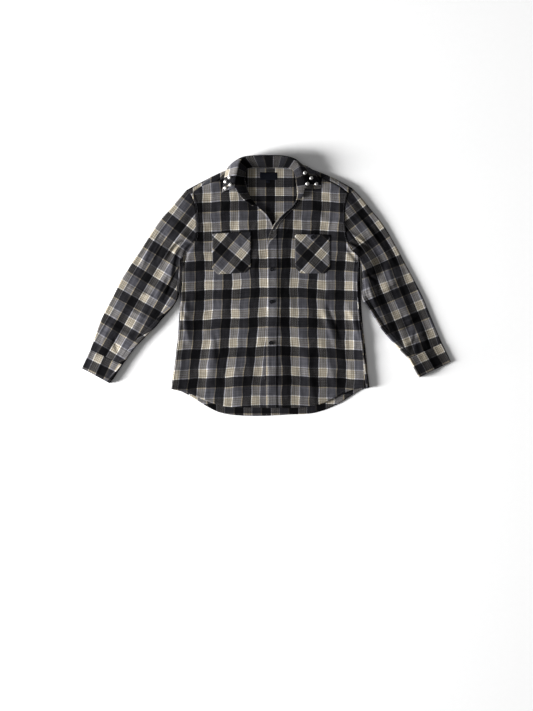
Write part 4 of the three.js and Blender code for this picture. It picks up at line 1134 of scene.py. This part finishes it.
def pocket_panel(side):
    shape = POCKET[side]
    across, along = (np.linspace(0, 1, count) for count in POCKET_GRID)
    y = mix(shape["y0"], shape["y1"], along)[:, None]
    clipped = np.maximum(0, shape["clip"] - (y - shape["y0"]))
    x = mix(shape["x0"] + clipped, shape["x1"] - clipped, across[None])
    y = y + shape["tilt"] * (x - mix(shape["x0"], shape["x1"], 0.5))
    left, right, low, high = edge_distances(pair(x, y))
    rim = np.minimum(np.minimum(left, right), low)
    puff = POCKET_PUFF * smooth(0, 5, rim) - POCKET_DENT * bump(rim - SEWN["pocket"], 1)
    puff += POCKET_PUFF * bump(high, 14) - HEM_DENT * bump(high - POCKET_HEM, 1.4)
    z = front_top(side, x, y) + LAID_GAP + BAND + puff
    bias = POCKET_GRAIN[side]
    turn = math.radians(bias["turn"])
    c, s = math.cos(turn), math.sin(turn)
    dx, dy = x - bias["x"], y - bias["y"]
    cloth = pair(bias["way"] * (c * dx + s * dy), c * dy - s * dx) + LIGHT_GROUP / 2
    return Panel(np.dstack([x, y, z]), cloth)


# Meshes


def grid_index(rows, columns):
    return np.arange(rows * columns).reshape(rows, columns)


def quads(index):
    corners = [index[:-1, :-1], index[:-1, 1:], index[1:, 1:], index[1:, :-1]]
    return np.stack(corners, axis=-1).reshape(-1, 4)


def link(thing):
    bpy.context.scene.collection.objects.link(thing)


def to_scene(points):
    """Drawing millimetres to the frame's metres."""
    moved = np.array(points, float)
    moved[..., 1] -= CENTRE_Y
    return moved * MM


def make_object(name, vertices, faces, material, cloth=None):
    mesh = bpy.data.meshes.new(name)
    mesh.from_pydata(to_scene(vertices).tolist(), [], [[int(k) for k in face] for face in faces])
    if cloth is not None:
        mesh.uv_layers.new(name="cloth").data.foreach_set("uv", (cloth * MM).ravel())
    mesh.polygons.foreach_set("use_smooth", [True] * len(mesh.polygons))
    turned = bmesh.new()
    turned.from_mesh(mesh)
    loose = [vertex for vertex in turned.verts if not vertex.link_faces]
    bmesh.ops.delete(turned, geom=loose, context="VERTS")
    bmesh.ops.recalc_face_normals(turned, faces=turned.faces)
    turned.to_mesh(mesh)
    turned.free()
    mesh.materials.append(material)
    piece = bpy.data.objects.new(name, mesh)
    link(piece)
    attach(piece, "root")
    return piece


def shell(name, panel, ply, material):
    """A panel as a closed thin cloth, with rounded rims."""
    outer = panel.points
    inner = outer - panel.normals * ply
    mark = grid_index(*outer.shape[:2])
    index = mark.copy()
    if panel.ring:
        index[:, -1] = index[:, 0]
    count = mark.size
    vertices = [outer.reshape(-1, 3), inner.reshape(-1, 3)]
    faces = [quads(index), quads(index + count)]
    marks = [quads(mark), quads(mark)]
    total = 2 * count
    every = slice(None)
    rims = [((0, every), (1, every)), ((-1, every), (-2, every))]
    if not panel.ring:
        rims += [((every, 0), (every, 1)), ((every, -1), (every, -2))]
    for where, beside in rims:
        out = unit(outer[where] - outer[beside])
        middle = (outer[where] + inner[where]) / 2 + out * ply * RIM_ROUND
        vertices.append(middle)
        ids = total + np.arange(len(middle))
        if panel.ring:
            ids[-1] = ids[0]
        faces.append(quads(np.stack([index[where], ids, index[where] + count])))
        marks.append(quads(np.stack([mark[where]] * 3)))
        total += len(middle)
    vertices = np.vstack(vertices)
    vertices[:, 2] = np.maximum(vertices[:, 2], 0)
    cloth = panel.cloth.reshape(-1, 2)[np.vstack(marks)]
    return make_object(name, vertices, np.vstack(faces), material, cloth)


def lay(panel):
    """Measures the longest column of a panel's points; the length is not used."""
    along = max(lengths(column)[-1] for column in panel.points.swapaxes(0, 1))


def closed_tube(rings):
    """Points and faces of a closed tube from its rings of points."""
    index = grid_index(*rings.shape[:2])
    faces = quads(np.column_stack([index, index[:, 0]])).tolist()
    return rings.reshape(-1, 3), [*faces, index[0][::-1].tolist(), index[-1].tolist()]


def join(name, parts, material):
    vertices, faces, count = [], [], 0
    for points, sides in parts:
        vertices.append(points)
        faces += [[k + count for k in face] for face in sides]
        count += len(points)
    return make_object(name, np.vstack(vertices), faces, material)


# Stitching

STITCH = 2.7
STITCH_GAP = 1.1
THREAD = 0.32
STITCH_SINK = 0.05
STITCH_SHAPE = table(
    "along thick lift",
    (-0.5, 0.35, -0.2), (-0.25, 1, 0.25), (0.25, 1, 0.25), (0.5, 0.35, -0.2),
)


def stitches(name, lines, material):
    """Short threads end to end along lines that lie on the cloth."""
    along, thick, lift = (STITCH_SHAPE[key][:, None] for key in ("along", "thick", "lift"))
    turn = np.arange(4)[:, None] * math.pi / 2
    pitch = STITCH + STITCH_GAP
    threads = []
    for points, normals in lines:
        run = lengths(points)
        centres = (np.arange(int(run[-1] // pitch)) + 0.5) * pitch
        middle = at_distance(points, centres)
        ahead = unit(at_distance(points, centres + STITCH / 2) - at_distance(points, centres - STITCH / 2))
        facing = along_run(centres, run, normals)
        beside = np.cross(facing, ahead)
        for centre, way, side, up in zip(middle, ahead, beside, facing):
            spots = centre + way * along * STITCH + up * (lift * THREAD + STITCH_SINK)
            ring = (side * np.cos(turn) + up * np.sin(turn)) * THREAD
            threads.append(closed_tube(spots[:, None] + ring * thick[..., None]))
    join(name, threads, material)


# Materials


class Nodes:
    """A small helper to write a material's nodes line by line."""

    def __init__(self, name):
        self.material = bpy.data.materials.new(name)
        self.material.use_nodes = True
        self.tree = self.material.node_tree
        self.shader = self.tree.nodes["Principled BSDF"]

    def add(self, kind, inputs=None, **settings):
        node = self.tree.nodes.new(kind)
        for key, value in settings.items():
            setattr(node, key, value)
        for key, value in (inputs or {}).items():
            self.feed(node, key, value)
        return node

    def feed(self, node, key, value):
        if isinstance(value, bpy.types.NodeSocket):
            self.tree.links.new(value, node.inputs[key])
        else:
            node.inputs[key].default_value = value

    def maths(self, operation, a, b=0.0):
        return self.add("ShaderNodeMath", {0: a, 1: b}, operation=operation).outputs[0]

    def vector(self, operation, a, b):
        return self.add("ShaderNodeVectorMath", {0: a, 1: b}, operation=operation).outputs[0]

    def noise(self, vector, scale, detail=3.0, roughness=0.55):
        inputs = {"Vector": vector, "Scale": scale, "Detail": detail, "Roughness": roughness}
        return self.add("ShaderNodeTexNoise", inputs).outputs["Fac"]

    def wave(self, vector, scale, distortion, direction):
        inputs = {"Vector": vector, "Scale": scale, "Distortion": distortion, "Detail": 2.0}
        return self.add("ShaderNodeTexWave", inputs, bands_direction=direction).outputs["Fac"]

    def remap(self, value, low, high, start=0.0, end=1.0):
        inputs = {"Value": value, "From Min": start, "From Max": end, "To Min": low, "To Max": high}
        return self.add("ShaderNodeMapRange", inputs).outputs["Result"]

    def blend(self, factor, a, b, kind="MIX"):
        node = self.add("ShaderNodeMix", data_type="RGBA", blend_type=kind)
        for key, value in ((0, factor), (6, a), (7, b)):
            self.feed(node, key, value)
        return node.outputs[2]

    def bump(self, height, strength, distance):
        inputs = {"Strength": strength, "Distance": distance, "Height": height}
        self.set(Normal=self.add("ShaderNodeBump", inputs).outputs[0])

    def set(self, **values):
        for key, value in values.items():
            self.feed(self.shader, key.replace("_", " "), value)


def colour(rgb):
    return (*rgb, 1.0)


def sett_colours(nodes, coordinate, repeat):
    """The colour of the threads at a distance across the cloth."""
    share = nodes.maths("FRACT", nodes.maths("DIVIDE", coordinate, repeat * MM))
    ramp = nodes.add("ShaderNodeValToRGB", {"Fac": share})
    stripes = ramp.color_ramp
    stripes.interpolation = "CONSTANT"
    while len(stripes.elements) < len(SETT):
        stripes.elements.new(1.0)
    for element, (start, rgb) in zip(stripes.elements, SETT):
        element.position = start / SETT_REPEAT
        element.color = colour(rgb)
    return ramp.outputs["Color"]


WARP_SHARE = 0.58  # of the colour where warp and weft cross under the nap
STRAY = 0.0012  # how far a stripe's edge frays, in metres


def plaid_material():
    nodes = Nodes("brushed_plaid")
    place = nodes.add("ShaderNodeUVMap", uv_map="cloth").outputs["UV"]
    fine = {"Vector": place, "Scale": 260.0, "Detail": 2.0}
    stray = nodes.add("ShaderNodeTexNoise", fine).outputs["Color"]
    shift = nodes.vector("SUBTRACT", stray, (0.5, 0.5, 0.5))
    shift = nodes.vector("MULTIPLY", shift, (STRAY, STRAY, STRAY))
    woven = nodes.vector("ADD", place, shift)
    split = nodes.add("ShaderNodeSeparateXYZ", {0: woven})
    twill = nodes.wave(place, 420.0, 1.2, "DIAGONAL")
    nap = nodes.noise(place, 900.0, 4.0)
    worn = nodes.noise(place, 40.0, 2.0)
    streaks = []
    for scale in ((210.0, 8.0, 1.0), (10.0, 300.0, 1.0)):
        stretched = nodes.vector("MULTIPLY", woven, scale)
        streaks.append(nodes.remap(nodes.noise(stretched, 1.0, 3.0), 0.4, 1.6))
    warp_share = nodes.remap(twill, WARP_SHARE - 0.16, WARP_SHARE + 0.16)
    weft_share = nodes.maths("SUBTRACT", 1.0, warp_share)
    threads = []
    for axis, repeat, share in (("X", WARP_REPEAT, warp_share), ("Y", WEFT_REPEAT, weft_share)):
        stripes = sett_colours(nodes, split.outputs[axis], repeat)
        threads.append(nodes.add("ShaderNodeGamma", {"Color": stripes, "Gamma": share}).outputs[0])
    cloth = nodes.blend(1.0, *threads, "MULTIPLY")
    bright = nodes.add("ShaderNodeRGBToBW", {0: cloth}).outputs[0]
    vivid = nodes.remap(bright, 0.65, 1.0, 0.05, 0.22)
    cloth = nodes.add("ShaderNodeHueSaturation", {"Saturation": vivid, "Color": cloth}).outputs[0]
    shade = nodes.maths("MULTIPLY", nodes.remap(nap, 0.72, 1.28), nodes.remap(worn, 0.9, 1.1))
    shade = nodes.maths("MULTIPLY", shade, nodes.maths("MULTIPLY", *streaks))
    grey = nodes.add("ShaderNodeCombineColor", {0: shade, 1: shade, 2: shade}).outputs[0]
    nodes.set(Base_Color=nodes.blend(1.0, cloth, grey, "MULTIPLY"))
    nodes.set(Roughness=nodes.remap(nap, 0.86, 0.98))
    relief = nodes.maths("ADD", nodes.maths("MULTIPLY", twill, 0.4), nap)
    nodes.bump(relief, 0.5, 0.0004)
    nodes.set(Specular_IOR_Level=0.03, Sheen_Weight=0.008, Sheen_Roughness=0.5)
    return nodes.material


def mottled(name, dark, light, scale, detail, **settings):
    """A material whose colour is finely mottled. Gives its nodes, its coordinates and the mottling."""
    nodes = Nodes(name)
    place = nodes.add("ShaderNodeTexCoord").outputs["Object"]
    spots = nodes.noise(place, scale, detail)
    nodes.set(Base_Color=nodes.blend(spots, colour(dark), colour(light)), **settings)
    return nodes, place, spots


def thread_material():
    dark, light = (0.012, 0.012, 0.014), (0.045, 0.045, 0.05)
    nodes, _, twist = mottled("sewing_thread", dark, light, 1800.0, 2.0, Specular_IOR_Level=0.2)
    nodes.set(Roughness=nodes.remap(twist, 0.55, 0.8))
    return nodes.material


def tape_material():
    dark, light = (0.0015, 0.002, 0.004), (0.006, 0.007, 0.013)
    nodes = Nodes("label_tape")
    place = nodes.add("ShaderNodeTexCoord").outputs["Object"]
    ribs = nodes.wave(place, 500.0, 0.3, "X")
    spots = nodes.noise(place, 700.0, 2.0)
    nodes.set(Base_Color=nodes.blend(nodes.maths("MULTIPLY", ribs, spots), colour(dark), colour(light)))
    nodes.set(Roughness=nodes.remap(spots, 0.7, 0.9), Specular_IOR_Level=0.06)
    nodes.bump(ribs, 0.4, 0.0002)
    return nodes.material


def resin_material(name, dark, light):
    nodes, place, _ = mottled(name, dark, light, 240.0, 3.0, Specular_IOR_Level=0.04)
    nodes.set(Roughness=nodes.remap(nodes.noise(place, 900.0), 0.55, 0.7))
    return nodes.material


def stud_material():
    dark, light = (0.42, 0.41, 0.4), (0.56, 0.55, 0.53)
    nodes, _, wear = mottled("polished_stud", dark, light, 900.0, 4.0, Metallic=0.8)
    nodes.set(Roughness=nodes.remap(wear, 0.34, 0.46))
    return nodes.material


def floor_material():
    dark, light = (0.93, 0.93, 0.93), (0.95, 0.95, 0.95)
    nodes, _, _ = mottled("white_surface", dark, light, 60.0, 2.0, Roughness=0.9, Specular_IOR_Level=0.1)
    return nodes.material


# Trim


def placed(local, point, normal):
    """Points in a trim piece's own frame, put where its z stands along the cloth's normal."""
    up = unit(normal)
    side = unit(np.cross([0, 1, 0], up))
    return local @ np.array([side, np.cross(up, side), up]) + point


def lathe(profile, sides, dimple=None):
    """A closed turned form from (radius, height) pairs that start and end on the axis."""
    profile = np.asarray(profile, float)
    angle = np.linspace(0, 2 * math.pi, sides, endpoint=False)
    rings = profile[1:-1]
    x, y = rings[:, :1] * np.cos(angle), rings[:, :1] * np.sin(angle)
    z = np.repeat(rings[:, 1:], sides, axis=1)
    if dimple:
        z = z + dimple(x, y, z)
    ends = [(0, 0, profile[0, 1]), (0, 0, profile[-1, 1])]
    points = np.vstack([np.dstack([x, y, z]).reshape(-1, 3), ends])
    index = grid_index(len(rings), sides)
    index = np.column_stack([index, index[:, 0]])
    low, high = len(points) - 2, len(points) - 1
    faces = quads(index).tolist()
    faces += [(low, b, a) for a, b in zip(index[0], index[0, 1:])]
    faces += [(high, a, b) for a, b in zip(index[-1], index[-1, 1:])]
    return points, faces


BUTTON_HOLE = 0.95
BUTTON_HOLE_PITCH = 1.7
BUTTON_HOLE_DEEP = 1.3
BUTTON_HOLE_SOFT = 0.35  # width of a hole's rounded edge
BUTTON_FACE = 1.2  # only what is higher than this has holes
BUTTON_DISH = (3.9, 1.85, 0.04)  # radius and height of the dish's rim, and how it slopes to the middle
BUTTON_DISH_STEPS = 26
BUTTON_MIDDLE = 1.7
BUTTON_SIDES = 96
BUTTON_RIM = (
    (0, 0), (4.8, 0), (5.7, 0.5), (6, 1.3), (5.9, 2.0), (5.5, 2.5), (5.0, 2.6), (4.5, 2.35),
    (4.1, 1.95),
)
THREAD_TOP = 1.5
THREAD_ARCH = 0.75
THREAD_RADIUS = 0.42


def button_holes(x, y, z):
    depth = np.zeros_like(x)
    for sx, sy in ((-1, -1), (-1, 1), (1, -1), (1, 1)):
        away = np.hypot(x - sx * BUTTON_HOLE_PITCH, y - sy * BUTTON_HOLE_PITCH)
        depth -= BUTTON_HOLE_DEEP * smooth(BUTTON_HOLE, BUTTON_HOLE - BUTTON_HOLE_SOFT, away)
    return depth * (z > BUTTON_FACE)


def button(name, spot, material, thread):
    """A dished four-hole button, and the two stitches that hold it."""
    edge, height, slope = BUTTON_DISH
    radii = np.linspace(edge, 0.15, BUTTON_DISH_STEPS)
    dish = [(radius, height - slope * (4 - radius)) for radius in radii]
    points, faces = lathe([*BUTTON_RIM, *dish, (0, BUTTON_MIDDLE)], BUTTON_SIDES, button_holes)
    piece = make_object(f"shirt_{name}", placed(points, *spot), faces, material)
    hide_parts(name)
    t = np.linspace(0, 1, 9)
    sewn = []
    for x in (-BUTTON_HOLE_PITCH, BUTTON_HOLE_PITCH):
        y = mix(-BUTTON_HOLE_PITCH, BUTTON_HOLE_PITCH, t)
        arch = np.column_stack([x + 0 * t, y, THREAD_TOP + THREAD_ARCH * np.sin(math.pi * t) ** 0.5])
        sewn.append(thread_tube(placed(arch, *spot)))
    join(f"shirt_{name}_thread", sewn, thread)


def thread_tube(line, sides=6):
    ahead = unit(np.gradient(line, axis=0))
    side = unit(np.cross(ahead, [0, 0, 1.0]))[:, None]
    up = np.cross(side, ahead[:, None])
    angle = np.linspace(0, 2 * math.pi, sides, endpoint=False)[:, None]
    return closed_tube(line[:, None] + THREAD_RADIUS * (side * np.cos(angle) + up * np.sin(angle)))


STUD_TALL = 4
STUD_BASE = ((0, 0), (5.6, 0), (6, 0.25), (6, 0.6), (5.75, 0.8))
STUD_DOME = (5.7, 0.75)  # radius and height at which the dome starts
STUD_ARC = (0.06, math.radians(76))
STUD_ARC_STEPS = 17
STUD_SIDES = 48
STUD_PIT = ((1.15, -0.12), (1.0, -0.6), (0.6, -0.95), (0, -1))  # radius, and height from the crown


def stud(name, spot, material):
    """A polished dome with a turned rim and a small pit at its crown."""
    radius, low = STUD_DOME
    angles = np.linspace(*STUD_ARC, STUD_ARC_STEPS)
    dome = [(radius * math.cos(a), low + (STUD_TALL - low) * math.sin(a)) for a in angles]
    pit = [(wide, STUD_TALL + height) for wide, height in STUD_PIT]
    points, faces = lathe([*STUD_BASE, *dome, *pit], STUD_SIDES)
    piece = make_object(f"shirt_{name}", placed(points, *spot), faces, material)
    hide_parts(name)


TAPE_PLY = 0.5
TAPE_LIFT = 0.6
TAPE_FULL = 0.5
TAPE_GRID = (25, 9)


def tape(node, shape, material):
    """A woven label: a thin strip, sewn at its ends and a little full between them."""
    u, v = np.meshgrid(*(np.linspace(-0.5, 0.5, count) for count in TAPE_GRID))
    x, y = shape["x"] + shape["wide"] * u, shape["y"] + shape["tall"] * v
    z = PLY + TAPE_LIFT + TAPE_FULL * np.cos(math.pi * u) ** 2 * (1 - (2 * v) ** 2)
    piece = shell(f"shirt_{node}", Panel(np.dstack([x, y, z]), pair(x, y)), TAPE_PLY, material)
    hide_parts(node)


# The whole shirt


PLIES = {"placket": BAND, "pocket": BAND, "cuff": CUFF_PLY, "collar": COLLAR_PLY}
POCKET_ROWS = (*((edge, SEWN["pocket"]) for edge in ("left", "right", "start")), ("end", POCKET_HEM))
SLEEVE_ROW = (0.02, 0.99)  # shares of the edge where a row of stitching starts and ends
CUFF_ROW = (0, 0.42)
STITCHING = {  # panel, edge, how far in, and the shares where the row doesn't go all the way
    "stitching_body": [
        *((f"front_{side}", edge, SEWN["front"]) for edge in ("right", "start") for side in SIGN),
        *(("placket", edge, SEWN["placket"]) for edge in ("left", "right")),
        *((f"pocket_{side}", *row) for side in SIGN for row in POCKET_ROWS),
    ],
    "stitching_sleeves": [
        row
        for side in SIGN
        for row in (
            (f"sleeve_{side}", "right", SEWN["sleeve"], *SLEEVE_ROW),
            (f"cuff_{side}", "start", SEWN["cuff"], *CUFF_ROW),
            (f"cuff_{side}", "end", SEWN["cuff"], *CUFF_ROW),
        )
    ],
    "stitching_collar": [
        ("collar_fall", "right", SEWN["collar_fall"], 0, 0.3),
        ("collar_fall", "right", SEWN["collar_fall"], 0.7, 1),
        ("collar_fall", "start", SEWN["collar_fall"], 0.3, 1),
        ("collar_fall", "end", SEWN["collar_fall"], 0.3, 1),
        ("collar_stand", "left", SEWN["collar_stand"]),
    ],
}


def cloth_panels():
    panels = {"back": back_panel(), "yoke": yoke_panel()}
    for side in SIGN:
        panels[f"front_{side}"] = front_panel(side)
    panels["placket"] = placket_panel(panels["front_left"])
    for side in SIGN:
        panels[f"pocket_{side}"] = pocket_panel(side)
        panels[f"sleeve_{side}"] = sleeve_panel(side)
        panels[f"cuff_{side}"] = cuff_panel(side)
    panels["collar_stand"] = stand_panel()
    panels["collar_fall"] = fall_panel()
    return panels


def lay_out(panels, plaid):
    for name, panel in panels.items():
        piece = shell(f"shirt_{name}", panel, PLIES.get(name.split("_")[0], PLY), plaid)
        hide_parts(name)
        lay(panel)


def trim(panels, thread):
    dark = resin_material("dark_resin", (0.0015, 0.0015, 0.002), (0.006, 0.006, 0.008))
    grey = resin_material("grey_resin", (0.012, 0.012, 0.014), (0.03, 0.03, 0.034))
    for name, place in FRONT_BUTTONS.items():
        button(name, panels["placket"].at(*place), dark, thread)
    button("button_front_4", panels["front_right"].at(*LOWEST_BUTTON), grey, thread)
    button("button_pocket", panels["pocket_left"].at(*POCKET_BUTTON), dark, thread)
    metal = stud_material()
    for name, place in STUDS.items():
        stud(name, panels["collar_fall"].at(*place), metal)
    navy = tape_material()
    tape("neck_label", LABEL, navy)
    tape("size_tab", SIZE_TAB, navy)


# Floor, light and camera

SUN_ELEVATION = 8.2  # low light from the left and a little from the hem's side
SUN_AZIMUTH = 190
SUN_ANGLE = 21
SUN_STRENGTH = 12.6
KEY_PLACE = (-2.6, -0.48, 0.7)  # a soft box, nearer than the sun, so that the left is brighter
KEY_SIZE = 0.9
KEY_POWER = 158.0
FILL_STRENGTH = 0.22
CAMERA_HEIGHT = 9.0
CAMERA_CENTRE = (0.0005, -0.2204)
PHOTO_TALL = 2.247  # metres that the photograph's longer side covers
SENSOR = 36.0
FLOOR_HALF = 20.0
FLOOR_Z = -0.0004


def stage():
    mesh = bpy.data.meshes.new("white_floor")
    signs = ((-1, -1), (1, -1), (1, 1), (-1, 1))
    corners = [(x * FLOOR_HALF, y * FLOOR_HALF, FLOOR_Z) for x, y in signs]
    mesh.from_pydata(corners, [], [(0, 1, 2, 3)])
    mesh.materials.append(floor_material())
    floor = bpy.data.objects.new("white_floor", mesh)
    link(floor)


def lamp(name, kind, rotation, place=(0, 0, 0), **settings):
    data = bpy.data.lights.new(name, kind)
    for key, value in settings.items():
        setattr(data, key, value)
    piece = bpy.data.objects.new(name, data)
    piece.location = place
    piece.rotation_euler = rotation
    link(piece)


def light():
    world = bpy.data.worlds.new("studio")
    world.use_nodes = True
    fill = world.node_tree.nodes["Background"].inputs
    fill["Color"].default_value = (1.0, 1.0, 1.0, 1.0)
    fill["Strength"].default_value = FILL_STRENGTH
    bpy.context.scene.world = world
    aim = (-Vector(KEY_PLACE)).to_track_quat("-Z", "Y").to_euler()
    lamp("key", "AREA", aim, KEY_PLACE, energy=KEY_POWER, shape="DISK", size=KEY_SIZE)
    low = (0, math.radians(90 - SUN_ELEVATION), math.radians(SUN_AZIMUTH))
    lamp("sun", "SUN", low, energy=SUN_STRENGTH, angle=math.radians(SUN_ANGLE))


def camera():
    data = bpy.data.cameras.new("camera")
    data.sensor_width = SENSOR
    data.lens = SENSOR * CAMERA_HEIGHT / PHOTO_TALL
    view = bpy.data.objects.new("camera", data)
    view.location = (*CAMERA_CENTRE, CAMERA_HEIGHT)
    link(view)
    bpy.context.scene.camera = view
    bpy.context.scene.view_settings.view_transform = "Standard"


stage()
sewing_thread = thread_material()
shirt = cloth_panels()
lay_out(shirt, plaid_material())
for row_name, stitch_rows in STITCHING.items():
    stitches(row_name, [shirt[part].inset(*where) for part, *where in stitch_rows], sewing_thread)
trim(shirt, sewing_thread)
light()
camera()
